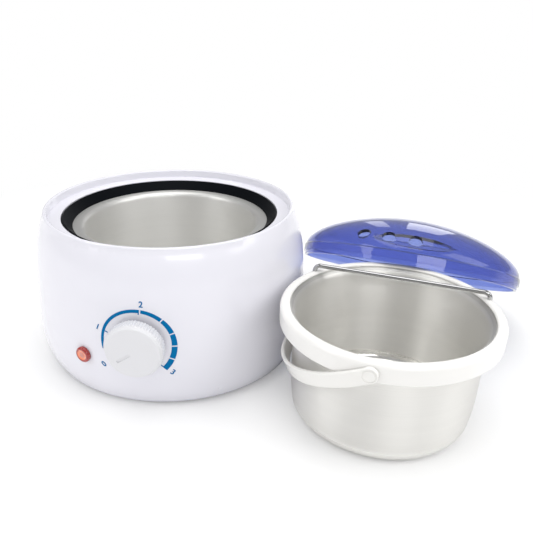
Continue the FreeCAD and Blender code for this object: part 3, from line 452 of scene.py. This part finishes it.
@dataclass(frozen=True)
class Finish:
    """What every finish has: a name, a colour and a roughness."""

    name: str
    colour: Colour
    roughness: float

    def _start(self) -> Tuple[bpy.types.Material, Graph, bpy.types.Node, bpy.types.NodeSocket]:
        """Makes an empty material.

        Returns:
            The material, its graph, its shader node and the object coordinates.
        """
        material = bpy.data.materials.new(self.name)
        material.use_nodes = True
        graph = Graph(material.node_tree)
        shader = material.node_tree.nodes["Principled BSDF"]
        place = graph.add("ShaderNodeTexCoord").outputs["Object"]
        return material, graph, shader, place

    def _toned(self, graph: Graph, share: object, loss: float) -> bpy.types.NodeSocket:
        """Mixes the colour with one that is darker by a loss."""
        return graph.mix(share, rgba(self.colour), rgba(shade(self.colour, 1.0 - loss)))

    def _rough(self, graph: Graph, share: object, gain: float) -> bpy.types.NodeSocket:
        """Adds up to a gain to the roughness."""
        return graph.spread(share, self.roughness, self.roughness + gain)

    @staticmethod
    def _bump(
        graph: Graph,
        shader: bpy.types.Node,
        height: bpy.types.NodeSocket,
        strength: float,
        distance: float,
    ) -> None:
        """Feeds a height to the shader's normal."""
        values = {"Height": height, "Strength": strength, "Distance": distance}
        graph.feed(shader, Normal=graph.add("ShaderNodeBump", values).outputs[0])

    @staticmethod
    def _set(shader: bpy.types.Node, **values: object) -> None:
        """Sets plain values on the shader's inputs, named with underscores for spaces."""
        for name, value in values.items():
            shader.inputs[name.replace("_", " ")].default_value = value


@dataclass(frozen=True)
class MouldedPlastic(Finish):
    """Glossy injection-moulded plastic."""

    coat: float = 0.3
    coat_roughness: float = 0.04
    peel_scale: float = 620.0
    peel: float = 0.05
    peel_depth: float = 0.2 * MM
    drift: float = 0.02
    smudge: float = 0.03
    specular: float = 0.5

    def make(self) -> bpy.types.Material:
        """Builds the material.

        Returns:
            The material.
        """
        material, graph, shader, place = self._start()
        skin = graph.use(EFFECTS.mould_skin, Place=place, Peel_Scale=self.peel_scale).outputs
        graph.feed(
            shader,
            Base_Color=self._toned(graph, skin["Drift"], self.drift),
            Roughness=self._rough(graph, skin["Smudge"], self.smudge),
        )
        self._set(shader, Coat_Weight=self.coat, Coat_Roughness=self.coat_roughness,
                  IOR=PLASTIC_IOR, Specular_IOR_Level=self.specular)
        self._bump(graph, shader, skin["Height"], self.peel, self.peel_depth)
        return material


@dataclass(frozen=True)
class SpunMetal(Finish):
    """Aluminium sheet spun or drawn about an upright axis."""

    axis_place: Tuple[float, float] = (0.0, 0.0)
    ring_scale: float = 2400.0
    ring_relief: float = 0.02
    ring_depth: float = 0.05 * MM
    ring_rough: float = 0.1
    grain: float = 0.8
    tone: float = 0.015
    polished_below: float = 0.0
    polished_fade: float = 4.0 * MM
    polished_roughness: float = 0.15
    # painted shade: a factor below 1 darkens the colour of the faces that look away from the axis
    outside_painted_shade: float = 1.0
    anisotropic: float = 0.8
    brush_turn: float = 0.25

    def make(self) -> bpy.types.Material:
        """Builds the material.

        Returns:
            The material.
        """
        material, graph, shader, place = self._start()
        centred = graph.vector("SUBTRACT", place, (*self.axis_place, 0.0))
        spin = graph.use(EFFECTS.spun_rings, Place=centred, Ring_Scale=self.ring_scale).outputs
        tone = self._toned(graph, spin["Bands"], self.tone)
        # painted shade on the outside faces, so that they render darker than the inside
        if self.outside_painted_shade < 1.0:
            tone = self._paint_outside_shade(graph, centred, tone)
        low = self.roughness - self.ring_rough / 2
        rough = graph.spread(spin["Rings"], low, low + self.ring_rough)
        if self.polished_below:
            height = graph.add("ShaderNodeSeparateXYZ", {0: place}).outputs[2]
            satin = graph.spread(height, 0.0, 1.0, self.polished_below,
                                 self.polished_below + self.polished_fade)
            rough = graph.mix_values(satin, self.polished_roughness, rough)
        graph.feed(shader, Base_Color=tone, Roughness=rough)
        self._set(shader, Metallic=1.0, Anisotropic=self.anisotropic,
                  Anisotropic_Rotation=self.brush_turn)
        marks = graph.math("ADD", spin["Height"], graph.math("MULTIPLY", spin["Grain"], self.grain))
        self._bump(graph, shader, marks, self.ring_relief, self.ring_depth)
        return material

    def _paint_outside_shade(
        self, graph: Graph, centred: bpy.types.NodeSocket, tone: bpy.types.NodeSocket
    ) -> bpy.types.NodeSocket:
        """Paints shade on the faces that look away from the spinning axis: their colour is
        darkened, so that the outside renders darker than the inside.

        Args:
            graph: The material's graph.
            centred: The place, measured from the axis.
            tone: The colour that the other faces keep.

        Returns:
            The colour of both.
        """
        facing = graph.add("ShaderNodeTexCoord").outputs["Normal"]
        outward = graph.add("ShaderNodeVectorMath", {0: centred, 1: facing},
                            operation="DOT_PRODUCT").outputs[1]
        # painted shade: the colour times the outside factor
        painted_shade = graph.mix(1.0, tone, rgba((self.outside_painted_shade,) * 3), "MULTIPLY")
        return graph.mix(graph.math("GREATER_THAN", outward, 0.0), tone, painted_shade)


@dataclass(frozen=True)
class PlatedMetal(Finish):
    """Steel wire, sheet or screws with a bright plating."""

    scuff_scale: float = 700.0
    scuff_rough: float = 0.2
    tone: float = 0.12
    relief: float = 0.08
    relief_depth: float = 0.05 * MM

    def make(self) -> bpy.types.Material:
        """Builds the material.

        Returns:
            The material.
        """
        material, graph, shader, place = self._start()
        wear = graph.use(EFFECTS.wear, Place=place, Scuff_Scale=self.scuff_scale).outputs
        graph.feed(
            shader,
            Base_Color=self._toned(graph, wear["Uneven"], self.tone),
            Roughness=self._rough(graph, wear["Scuff"], self.scuff_rough),
        )
        self._set(shader, Metallic=1.0)
        self._bump(graph, shader, wear["Height"], self.relief, self.relief_depth)
        return material


@dataclass(frozen=True)
class MattMaterial(Finish):
    """Rubber, mica, phenolic, ceramic or ink: matt, and a little glossier where it is scuffed."""

    grain_scale: float = 900.0
    grain: float = 0.25
    grain_depth: float = 0.1 * MM
    tone: float = 0.18
    scuff_gloss: float = 0.15
    specular: float = 0.4

    def make(self) -> bpy.types.Material:
        """Builds the material.

        Returns:
            The material.
        """
        material, graph, shader, place = self._start()
        wear = graph.use(EFFECTS.wear, Place=place, Scuff_Scale=self.grain_scale).outputs
        graph.feed(
            shader,
            Base_Color=self._toned(graph, wear["Uneven"], self.tone),
            Roughness=self._rough(graph, wear["Scuff"], -self.scuff_gloss),
        )
        self._set(shader, Specular_IOR_Level=self.specular)
        self._bump(graph, shader, wear["Height"], self.grain, self.grain_depth)
        return material


@dataclass(frozen=True)
class TintedPlastic(Finish):
    """Clear tinted plastic, as of the lid or a lamp's glass: its colour can deepen inside."""

    transmission: float
    peel_scale: float = 500.0
    peel: float = 0.03
    peel_depth: float = 0.1 * MM
    drift: float = 0.05
    smudge: float = 0.03
    depth_colour: Colour = WHITE
    depth_density: float = 0.0

    def make(self) -> bpy.types.Material:
        """Builds the material.

        Returns:
            The material.
        """
        material, graph, shader, place = self._start()
        skin = graph.use(EFFECTS.mould_skin, Place=place, Peel_Scale=self.peel_scale).outputs
        graph.feed(
            shader,
            Base_Color=self._toned(graph, skin["Drift"], self.drift),
            Roughness=self._rough(graph, skin["Smudge"], self.smudge),
        )
        self._set(shader, Transmission_Weight=self.transmission, IOR=PLASTIC_IOR)
        self._bump(graph, shader, skin["Height"], self.peel, self.peel_depth)
        if self.depth_density:
            values = {"Color": rgba(self.depth_colour), "Density": self.depth_density}
            depth = graph.add("ShaderNodeVolumeAbsorption", values)
            graph.feed(material.node_tree.nodes["Material Output"], Volume=depth.outputs[0])
        return material


@dataclass(frozen=True)
class LensPlastic(Finish):
    """The pilot lamp's lens, coloured in rings about its own axis.

    Its stops give a colour at each share of the reach, from 0 to 1.
    """

    centre: Place
    axis: Place
    stops: Tuple[Tuple[float, Colour], ...]
    reach: float
    coat: float = 1.0
    coat_roughness: float = 0.03
    peel_scale: float = 900.0
    peel: float = 0.04
    peel_depth: float = 0.1 * MM
    smudge: float = 0.05

    def make(self) -> bpy.types.Material:
        """Builds the material.

        Returns:
            The material.
        """
        material, graph, shader, place = self._start()
        arm = graph.vector("SUBTRACT", place, self.centre)
        radius = graph.length(graph.vector("CROSS_PRODUCT", arm, self.axis))
        ramp = graph.add("ShaderNodeValToRGB", {0: graph.math("DIVIDE", radius, self.reach)})
        elements = ramp.color_ramp.elements
        for position, colour in self.stops[1:-1]:
            elements.new(position).color = rgba(colour)
        elements[0].color = rgba(self.stops[0][1])
        elements[-1].color = rgba(self.stops[-1][1])
        skin = graph.use(EFFECTS.mould_skin, Place=place, Peel_Scale=self.peel_scale).outputs
        graph.feed(shader, Base_Color=ramp.outputs[0],
                   Roughness=self._rough(graph, skin["Smudge"], self.smudge))
        self._set(shader, IOR=PLASTIC_IOR, Coat_Weight=self.coat,
                  Coat_Roughness=self.coat_roughness)
        self._bump(graph, shader, skin["Height"], self.peel, self.peel_depth)
        return material


def dress(piece: Piece, material: bpy.types.Material) -> None:
    """Gives a piece one material all over.

    Args:
        piece: The piece to dress.
        material: What it wears.
    """
    if not piece.data.materials:
        piece.data.materials.append(material)
    for slot in piece.material_slots:
        slot.material = material


def dress_node(node: str, material: bpy.types.Material) -> None:
    """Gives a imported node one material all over."""
    dress(frame["nodes"][node], material)
    LOG.info("node %s wears %s", node, material.name)


def stand_in(
    node: str,
    name: str,
    body: Body,
    material: bpy.types.Material,
    degrees: float = SMOOTH_ANGLE,
) -> Piece:
    """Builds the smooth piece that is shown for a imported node.

    Args:
        node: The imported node.
        name: The new piece's name.
        body: The body that it moves with.
        material: Its finish.
        degrees: Edges sharper than this stay sharp.

    Returns:
        The new piece.
    """
    piece = Bench.smooth_copy(node, name, degrees)
    dress(piece, material)
    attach(piece, body.value)
    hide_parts(node)
    LOG.info("piece %s stands for %s", name, node)
    return piece


# --------------------------------------------------------------------------- heater


@dataclass
class Heater:
    """The casing, its base, the seal ring and the well."""

    casing_white: MouldedPlastic = MouldedPlastic(
        "casing_white", colour=(0.765, 0.76, 0.82), roughness=0.15,
    )
    base_white: MouldedPlastic = MouldedPlastic(
        "base_white", colour=(0.66, 0.66, 0.73), roughness=0.22,
    )
    seal_black: MouldedPlastic = MouldedPlastic(
        "seal_black", colour=(0.003, 0.004, 0.006), roughness=0.42, coat=0.0, drift=0.2,
        specular=0.05,
    )
    aluminium: SpunMetal = SpunMetal(
        "spun_aluminium", colour=(0.88, 0.875, 0.855), roughness=0.5, anisotropic=0.5,
    )
    nylon: MouldedPlastic = MouldedPlastic(
        "gland_grey", colour=(0.50, 0.50, 0.52), roughness=0.35, coat=0.0,
    )
    rubber: MattMaterial = MattMaterial(
        "foot_rubber", colour=(0.09, 0.09, 0.095), roughness=0.75,
    )
    screw: PlatedMetal = PlatedMetal("steel_screw", colour=(0.50, 0.50, 0.51), roughness=0.28)

    def build(self) -> Piece:
        """Builds and dresses the heater's outside.

        Returns:
            The casing, which the dial is printed on.
        """
        body = Body.HEATER
        casing = stand_in(
            "outer_casing", "casing_shell", body, self.casing_white.make(),
        )
        stand_in("base_plate", "base_tray", body, self.base_white.make())
        stand_in("seal_ring", "black_seal", body, self.seal_black.make())
        stand_in("heating_well", "aluminium_well", body, self.aluminium.make())
        stand_in("cable_gland", "cable_bush", body, self.nylon.make())
        dress_node("rubber_feet", self.rubber.make())
        screw = self.screw.make()
        dress_node("base_screws", screw)
        dress_node("well_screws", screw)
        return casing


@dataclass
class InnerWorks:
    """What is inside the casing and shows only from below or when it is open."""

    steel: PlatedMetal = PlatedMetal("steel_plate", colour=(0.58, 0.58, 0.59), roughness=0.30)
    screw: PlatedMetal = PlatedMetal("inner_screw", colour=(0.50, 0.50, 0.51), roughness=0.28)
    mica: MattMaterial = MattMaterial(
        "band_mica", colour=(0.52, 0.45, 0.33), roughness=0.6, grain_scale=260.0,
    )
    ceramic: MattMaterial = MattMaterial("fuse_case", colour=(0.78, 0.74, 0.64), roughness=0.5)
    phenolic: MattMaterial = MattMaterial(
        "switch_brown", colour=(0.12, 0.07, 0.045), roughness=0.45,
    )
    cream: MattMaterial = MattMaterial(
        "terminal_cream", colour=(0.78, 0.75, 0.67), roughness=0.5,
    )
    glass: TintedPlastic = TintedPlastic(
        "lamp_glass", colour=(1.0, 0.55, 0.30), roughness=0.05, transmission=0.9,
    )

    def build(self) -> None:
        """Dresses the inner pieces."""
        plain_steel = (
            "band_clamp", "fuse_clip", "thermostat_bracket", "control_shaft", "lamp_clip",
        )
        wear = (
            (self.mica, ("heating_band",)),
            (self.steel, plain_steel),
            (self.screw, ("clamp_screw", "fuse_nut", "thermostat_nut", "terminal_screws")),
            (self.ceramic, ("thermal_fuse",)),
            (self.phenolic, ("thermostat_body",)),
            (self.glass, ("indicator_lamp",)),
            (self.cream, ("terminal_block",)),
        )
        for finish, nodes in wear:
            material = finish.make()
            for node in nodes:
                dress_node(node, material)


@dataclass
class ControlKnob:
    """The knob that turns the thermostat."""

    white: MouldedPlastic = MouldedPlastic(
        "knob_white", colour=(0.70, 0.70, 0.725), roughness=0.3, coat=0.05, peel=0.08,
    )
    smooth_angle: float = 28.0

    def build(self) -> None:
        """Builds and dresses the knob."""
        stand_in("control_knob", "control_dial", Body.KNOB, self.white.make(),
                 self.smooth_angle)


@dataclass
class PilotLamp:
    """The red lamp left of the knob: a pale middle in an orange ring with a dark red rim."""

    rim_red: Colour = (0.33, 0.010, 0.005)
    ring_orange: Colour = (0.90, 0.27, 0.14)
    middle: Colour = (0.60, 0.19, 0.13)
    middle_edge: Tuple[float, float] = (0.36, 0.42)
    ring_edge: Tuple[float, float] = (0.60, 0.68)
    roughness: float = 0.12

    def build(self) -> None:
        """Builds and dresses the lens."""
        low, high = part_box("indicator_lens")
        centre = (low + high) / 2
        outward = Vector((centre.x, centre.y, 0.0)).normalized()
        stops = (
            (0.0, self.middle), (self.middle_edge[0], self.middle),
            (self.middle_edge[1], self.ring_orange), (self.ring_edge[0], self.ring_orange),
            (self.ring_edge[1], self.rim_red), (1.0, self.rim_red),
        )
        red = LensPlastic(
            "lens_red", self.rim_red, self.roughness, centre=tuple(centre), axis=tuple(outward),
            stops=stops, reach=(high.z - low.z) / 2,
        )
        stand_in("indicator_lens", "lamp_lens", Body.HEATER, red.make())


@dataclass(frozen=True)
class Numeral:
    """A printed numeral: its angle and radius on the dial, and how far it leans clockwise."""

    text: str
    angle: float
    radius: float
    lean: float


@dataclass
class DialPrint:
    """The printed scale round the knob: a tapering arc, blocks, ticks and plain numerals.

    Angles are degrees clockwise from the top. A station is an angle and the band's width there, and
    a tick's reach is how far it goes inside the band.
    """

    ink: MattMaterial = MattMaterial(
        "dial_ink", colour=(0.0, 0.155, 0.385), roughness=0.42, grain_scale=2500.0, grain=0.05,
        tone=0.05, specular=0.05,
    )
    outer_radius: float = 22.05 * MM
    stations: Tuple[Tuple[float, float], ...] = (
        (-103.0, 0.35 * MM), (-89.0, 1.65 * MM), (6.0, 2.0 * MM), (41.0, 2.35 * MM),
        (69.0, 2.8 * MM), (90.0, 3.2 * MM), (134.0, 3.2 * MM),
    )
    gap_angle: float = 2.1
    start_angle: float = -103.0
    on_angle: float = -71.0
    middle_angle: float = 6.2
    block_angles: Tuple[float, ...] = (41.2, 68.6, 90.2, 113.0, 134.6)
    on_tick_reach: float = 1.9 * MM
    middle_tick_reach: float = 0.9 * MM
    end_tick_reach: float = 2.0 * MM
    tick_width: float = 0.75 * MM
    step_angle: float = 2.5
    front: float = -105.0 * MM
    drop: float = 1.0 * MM
    lift: float = 0.05 * MM
    thickness: float = 0.08 * MM
    weld_gap: float = 0.01 * MM
    numeral_size: float = 4.9 * MM
    numeral_weight: float = 0.10 * MM
    numerals: Tuple[Numeral, ...] = (
        Numeral("0", -125.4, 26.6 * MM, -42.0), Numeral("1", -71.0, 25.0 * MM, 24.0),
        Numeral("2", 6.9, 25.2 * MM, 4.0), Numeral("3", 132.0, 25.4 * MM, 38.0),
    )

    def __post_init__(self) -> None:
        """Takes the dial's centre from the knob: it lies a little below."""
        low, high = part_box("control_knob")
        middle = (low + high) / 2
        self.centre = Vector((middle.x, self.front, middle.z - self.drop))

    def at(self, angle: float, radius: float) -> Vector:
        """Gives the place at an angle clockwise from the top, and a radius, in the front plane."""
        turn = math.radians(angle)
        return self.centre + Vector((math.sin(turn), 0.0, math.cos(turn))) * radius

    def width_at(self, angle: float) -> float:
        """Gives the band's width at an angle.

        Args:
            angle: Degrees clockwise from the top.

        Returns:
            The width, in between those of the stations on either side.
        """
        for (start, first), (end, last) in zip(self.stations, self.stations[1:]):
            if angle <= end:
                share = max(0.0, (angle - start) / (end - start))
                return first + (last - first) * share
        return self.stations[-1][1]

    def sweep(self, name: str, start: float, end: float, reach: float = 0.0) -> Piece:
        """Spins a radial edge into a stretch of band, and sets its inner side to its width.

        Args:
            name: The piece's name.
            start: The angle where it starts, clockwise from the top.
            end: The angle where it ends.
            reach: How far it goes inside the band's own inner edge.

        Returns:
            The flat band, in the front plane.
        """
        inner = self.outer_radius / 2
        piece = Bench.line(name, (self.at(start, inner), self.at(start, self.outer_radius)))
        steps = max(1, round((end - start) / self.step_angle))
        Bench.edit(piece)
        bpy.ops.mesh.spin(
            steps=steps, angle=-math.radians(end - start), center=self.centre, axis=Y_AXIS,
        )
        Bench.close()
        for vertex in piece.data.vertices:
            arm = vertex.co - self.centre
            if arm.length < (inner + self.outer_radius) / 2:
                angle = math.degrees(math.atan2(arm.x, arm.z))
                radius = self.outer_radius - self.width_at(angle) - reach
                vertex.co = self.centre + arm.normalized() * radius
        return piece

    def numeral(self, numeral: Numeral) -> Piece:
        """Sets one numeral outside the band.

        Args:
            numeral: The numeral and its place.

        Returns:
            The numeral as a flat mesh in the front plane.
        """
        Bench.clear()
        bpy.ops.object.text_add(location=(0.0, 0.0, 0.0))
        letter = bpy.context.object.data
        letter.body = numeral.text
        letter.size = self.numeral_size
        letter.align_x = "CENTER"
        letter.align_y = "CENTER"
        letter.offset = self.numeral_weight
        bpy.ops.object.convert(target="MESH")
        piece = bpy.context.object
        piece.name = "numeral_" + numeral.text
        upright = Matrix.Rotation(math.radians(90.0), 4, "X")
        leaned = Matrix.Rotation(math.radians(numeral.lean), 4, "Y") @ upright
        piece.data.transform(Matrix.Translation(self.at(numeral.angle, numeral.radius)) @ leaned)
        return piece

    def print_on(self, piece: Piece, casing: Piece, material: bpy.types.Material) -> None:
        """Lays a flat piece on the casing and gives it the thickness of ink.

        Args:
            piece: The flat mesh in the front plane.
            casing: What it is printed on.
            material: The ink.
        """
        Bench.modify(
            piece, "SHRINKWRAP", target=casing, wrap_method="PROJECT", use_project_y=True,
            use_project_x=False, use_project_z=False, use_positive_direction=True,
            offset=self.lift,
        )
        Bench.edit(piece)
        bpy.ops.mesh.remove_doubles(threshold=self.weld_gap)
        Bench.close()
        facing = sum(face.normal.y * face.area for face in piece.data.polygons)
        if facing > 0.0:
            piece.data.flip_normals()
        Bench.modify(piece, "SOLIDIFY", thickness=self.thickness, offset=1.0)
        dress(piece, material)
        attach(piece, Body.HEATER.value)
        LOG.info("printed %s", piece.name)

    def build(self, casing: Piece) -> None:
        """Prints the whole dial on the casing.

        Args:
            casing: The casing's piece.
        """
        half_gap = self.gap_angle / 2
        half_tick = math.degrees(self.tick_width / self.outer_radius) / 2
        flats = [self.sweep("dial_arc", self.start_angle, self.middle_angle - half_gap)]
        stops = (self.middle_angle,) + self.block_angles
        for number, (start, end) in enumerate(zip(stops, stops[1:])):
            last = end if end == stops[-1] else end - half_gap
            flats.append(self.sweep(f"dial_block_{number + 1}", start + half_gap, last))
        ticks = (
            ("on", self.on_angle, self.on_tick_reach),
            ("middle", self.middle_angle - half_gap - half_tick, self.middle_tick_reach),
            ("end", self.block_angles[-1] - half_tick, self.end_tick_reach),
        )
        for name, angle, reach in ticks:
            flats.append(self.sweep("dial_tick_" + name, angle - half_tick, angle + half_tick,
                                    reach))
        flats.extend(self.numeral(numeral) for numeral in self.numerals)
        material = self.ink.make()
        for flat in flats:
            self.print_on(flat, casing, material)


# --------------------------------------------------------------------------- pot, bail, lid


@dataclass
class WaxPot:
    """The spun pot, its moulded collar and the scraper bar."""

    aluminium: SpunMetal = SpunMetal(
        "pot_aluminium", colour=(0.94, 0.93, 0.90), roughness=0.5, polished_below=6.0 * MM,
        # painted shade: the outside faces get 0.88 of the colour, so that they render darker than
        # the inside
        outside_painted_shade=0.88,
    )
    warm_white: MouldedPlastic = MouldedPlastic(
        "collar_white", colour=(0.84, 0.83, 0.81), roughness=0.24, coat=0.2,
    )
    chrome: PlatedMetal = PlatedMetal(
        "chrome_wire", colour=(0.50, 0.50, 0.505), roughness=0.10, relief=0.03,
    )
    pin: PlatedMetal = PlatedMetal("pin_steel", colour=(0.55, 0.54, 0.53), roughness=0.25)

    def build(self) -> None:
        """Builds and dresses the pot, whose metal is spun about the pot's own axis."""
        low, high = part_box("wax_pot")
        centre = (low + high) / 2
        metal = replace(self.aluminium, axis_place=(centre.x, centre.y)).make()
        stand_in("wax_pot", "aluminium_pot", Body.POT, metal)
        stand_in("pot_collar", "collar_ring", Body.POT, self.warm_white.make())
        stand_in("scraper_bar", "chrome_bar", Body.POT, self.chrome.make())
        dress_node("bail_pins", self.pin.make())


@dataclass
class Bail:
    """The bail handle, with a ring sunk into each ear round its pin."""

    warm_white: MouldedPlastic = MouldedPlastic(
        "bail_white", colour=(0.82, 0.81, 0.785), roughness=0.24, coat=0.2,
    )
    ring_radius: float = 3.2 * MM
    ring_depth: float = 0.35 * MM
    ring_steps: int = 72
    section_steps: int = 16
    ear_search: float = 4.5 * MM

    def __post_init__(self) -> None:
        """Takes the pivot line from the bail's joint."""
        joints = {joint["name"]: joint for joint in frame["record"]["behaviour"]["joints"]}
        swing = joints["bail_swing"]
        self.middle = Vector(swing["pos_m"])
        self.line = Vector(swing["axis"]).normalized()

    def ear_reach(self, outward: Vector) -> float:
        """Finds how far out along the pivot line one ear's outer face lies.

        Args:
            outward: The direction of the pivot line on that ear's side.

        Returns:
            The distance from the joint's own place.
        """
        reach = 0.0
        for vertex in frame["nodes"]["bail_handle"].data.vertices:
            arm = vertex.co - self.middle
            along = arm.dot(outward)
            if (arm - outward * along).length < self.ear_search:
                reach = max(reach, along)
        return reach

    def sink_ring(self, piece: Piece, outward: Vector) -> None:
        """Cuts a round-bottomed ring into one ear's outer face.

        Args:
            piece: The bail's piece.
            outward: The direction of the pivot line on that ear's side.
        """
        Bench.clear()
        bpy.ops.mesh.primitive_torus_add(
            major_radius=self.ring_radius, minor_radius=self.ring_depth,
            major_segments=self.ring_steps, minor_segments=self.section_steps,
            location=self.middle + outward * self.ear_reach(outward),
            rotation=outward.to_track_quat("Z", "Y").to_euler(),
        )
        cutter = Bench.settle(bpy.context.object)
        Bench.modify(piece, "BOOLEAN", operation="DIFFERENCE", solver="EXACT", object=cutter)
        bpy.data.objects.remove(cutter)

    def build(self) -> None:
        """Builds and dresses the bail."""
        piece = stand_in(
            "bail_handle", "bail_strap", Body.BAIL, self.warm_white.make(),
        )
        for outward in (-self.line, self.line):
            self.sink_ring(piece, outward)
        Bench.smooth(piece)


@dataclass
class Lid:
    """The tinted lid."""

    blue: TintedPlastic = TintedPlastic(
        "lid_blue", colour=(0.72, 0.77, 0.98), roughness=0.02, transmission=0.96,
        depth_colour=(0.24, 0.37, 0.80), depth_density=470.0,
    )
    smooth_angle: float = 24.0

    def build(self) -> None:
        """Builds and dresses the lid."""
        stand_in("lid_dome", "tinted_lid", Body.LID, self.blue.make(),
                 self.smooth_angle)


# --------------------------------------------------------------------------- studio


class Aim(Enum):
    """What a light is aimed at."""

    ROW = (0.07, 0.0, 0.04)
    LID = (0.16, 0.02, 0.08)


@dataclass(frozen=True)
class SoftLight:
    """One rectangular studio light, with its width, its height and its power in watts."""

    name: str
    place: Place
    aim: Aim
    width: float
    height: float
    power: float

    def build(self, only_reflected: bool) -> None:
        """Hangs the light and aims it.

        Args:
            only_reflected: Whether it shows only in glossy surfaces, as a window does.
        """
        data = bpy.data.lights.new(self.name, "AREA")
        data.shape = "RECTANGLE"
        data.size = self.width
        data.size_y = self.height
        data.energy = self.power
        lamp = bpy.data.objects.new(self.name, data)
        lamp.visible_camera = False
        lamp.visible_transmission = False
        lamp.visible_diffuse = not only_reflected
        lamp.location = self.place
        direction = Vector(self.aim.value) - Vector(self.place)
        lamp.rotation_euler = direction.to_track_quat("-Z", "Y").to_euler()
        bpy.context.scene.collection.objects.link(lamp)


@dataclass
class Studio:
    """A plain pale floor, white surroundings, softboxes, reflected windows and the camera."""

    floor_size: float = 8.0
    floor_white: Colour = (0.93, 0.93, 0.93)
    floor_roughness: float = 0.6
    floor_specular: float = 0.2
    shadow_reach: float = 0.22
    shadow_lift: float = 0.20
    fade_reach: float = 0.25
    surround: float = 0.90
    horizon: float = 0.45
    ceiling: float = 0.35
    ceiling_rise: Tuple[float, float] = (0.04, 0.30)
    camera_place: Place = (0.0910, -0.3527, 0.2159)
    camera_turn: float = 6.598
    camera_pitch: float = 27.38
    camera_roll: float = 0.58
    focal_length: float = 38.81
    sensor_width: float = 36.0
    near_clip: float = 0.01
    shift: Tuple[float, float] = (0.03826, 0.05835)
    softboxes: Tuple[SoftLight, ...] = (
        SoftLight("top_softbox", (0.05, 0.0, 1.05), Aim.ROW, 0.90, 0.60, 3.5),
        SoftLight("left_softbox", (-0.95, -0.55, 0.75), Aim.ROW, 0.45, 0.70, 1.6),
        SoftLight("right_softbox", (1.10, -0.25, 0.80), Aim.ROW, 0.70, 0.90, 4.2),
    )
    windows: Tuple[SoftLight, ...] = (
        SoftLight("front_window", (0.46, -1.02, 0.63), Aim.LID, 0.60, 0.28, 2.5),
        SoftLight("left_window", (-0.97, -0.56, 0.76), Aim.ROW, 0.45, 0.70, 1.5),
        SoftLight("rear_window", (0.48, 1.17, 0.33), Aim.LID, 0.23, 0.44, 0.57),
        SoftLight("rear_left_window", (0.20, 1.20, 0.33), Aim.LID, 0.10, 0.40, 0.15),
    )

    def _floor(self) -> None:
        """Lays the floor: it keeps soft shadows near the object and fades to white."""
        Bench.clear()
        bpy.ops.mesh.primitive_plane_add(size=self.floor_size)
        floor = bpy.context.object
        floor.name = "studio_floor"
        material = bpy.data.materials.new("floor_white")
        material.use_nodes = True
        graph = Graph(material.node_tree)
        shader = material.node_tree.nodes["Principled BSDF"]
        shader.inputs["Base Color"].default_value = rgba(self.floor_white)
        shader.inputs["Roughness"].default_value = self.floor_roughness
        shader.inputs["Specular IOR Level"].default_value = self.floor_specular
        place = graph.add("ShaderNodeTexCoord").outputs["Object"]
        middle = (CAD_BOX[0] + CAD_BOX[1]) / 2
        arm = graph.vector("SUBTRACT", place, (middle.x, middle.y, 0.0))
        share = graph.spread(graph.length(arm), self.shadow_lift, 1.0, self.shadow_reach,
                             self.shadow_reach + self.fade_reach)
        seen = graph.add("ShaderNodeLightPath").outputs["Is Camera Ray"]
        white = graph.add("ShaderNodeEmission", {0: rgba(WHITE), 1: 1.0})
        mixed = graph.add("ShaderNodeMixShader", {
            0: graph.math("MULTIPLY", share, seen), 1: shader.outputs[0], 2: white.outputs[0],
        })
        graph.feed(material.node_tree.nodes["Material Output"], Surface=mixed.outputs[0])
        dress(floor, material)

    def _surroundings(self) -> None:
        """Makes the room white to the eye, with a darker ceiling in reflections."""
        world = bpy.data.worlds.new("white_room")
        bpy.context.scene.world = world
        world.use_nodes = True
        graph = Graph(world.node_tree)
        path = graph.add("ShaderNodeLightPath").outputs
        heading = graph.add("ShaderNodeTexCoord").outputs["Generated"]
        height = graph.add("ShaderNodeSeparateXYZ", {0: heading}).outputs[2]
        room = graph.spread(height, self.horizon, self.ceiling, *self.ceiling_rise)
        seen = graph.math("MAXIMUM", path["Is Camera Ray"], path["Is Transmission Ray"])
        plain = graph.spread(seen, self.surround, 1.0)
        background = world.node_tree.nodes["Background"]
        background.inputs["Color"].default_value = rgba(WHITE)
        graph.feed(background, Strength=graph.mix_values(path["Is Glossy Ray"], plain, room))

    def _camera(self) -> None:
        """Sets the camera."""
        data = bpy.data.cameras.new("camera")
        data.sensor_width = self.sensor_width
        data.lens = self.focal_length
        data.shift_x, data.shift_y = self.shift
        data.clip_start = self.near_clip
        camera = bpy.data.objects.new("camera", data)
        turn = Matrix.Rotation(math.radians(self.camera_turn), 4, "Z")
        pitch = Matrix.Rotation(math.radians(90.0 - self.camera_pitch), 4, "X")
        roll = Matrix.Rotation(math.radians(self.camera_roll), 4, "Z")
        camera.matrix_world = Matrix.Translation(self.camera_place) @ turn @ pitch @ roll
        bpy.context.scene.collection.objects.link(camera)
        bpy.context.scene.camera = camera

    def build(self) -> None:
        """Sets up the whole studio."""
        bpy.context.scene.view_settings.view_transform = "Standard"
        self._floor()
        self._surroundings()
        for softbox in self.softboxes:
            softbox.build(only_reflected=False)
        for window in self.windows:
            window.build(only_reflected=True)
        self._camera()


def main() -> None:
    """Builds the studio and every sub-assembly in order."""
    logging.basicConfig(level=logging.INFO, format="%(name)s: %(message)s")
    Studio().build()
    casing = Heater().build()
    InnerWorks().build()
    ControlKnob().build()
    PilotLamp().build()
    DialPrint().build(casing)
    WaxPot().build()
    Bail().build()
    Lid().build()
    Bench.clear()


if __name__ == "__main__":
    main()
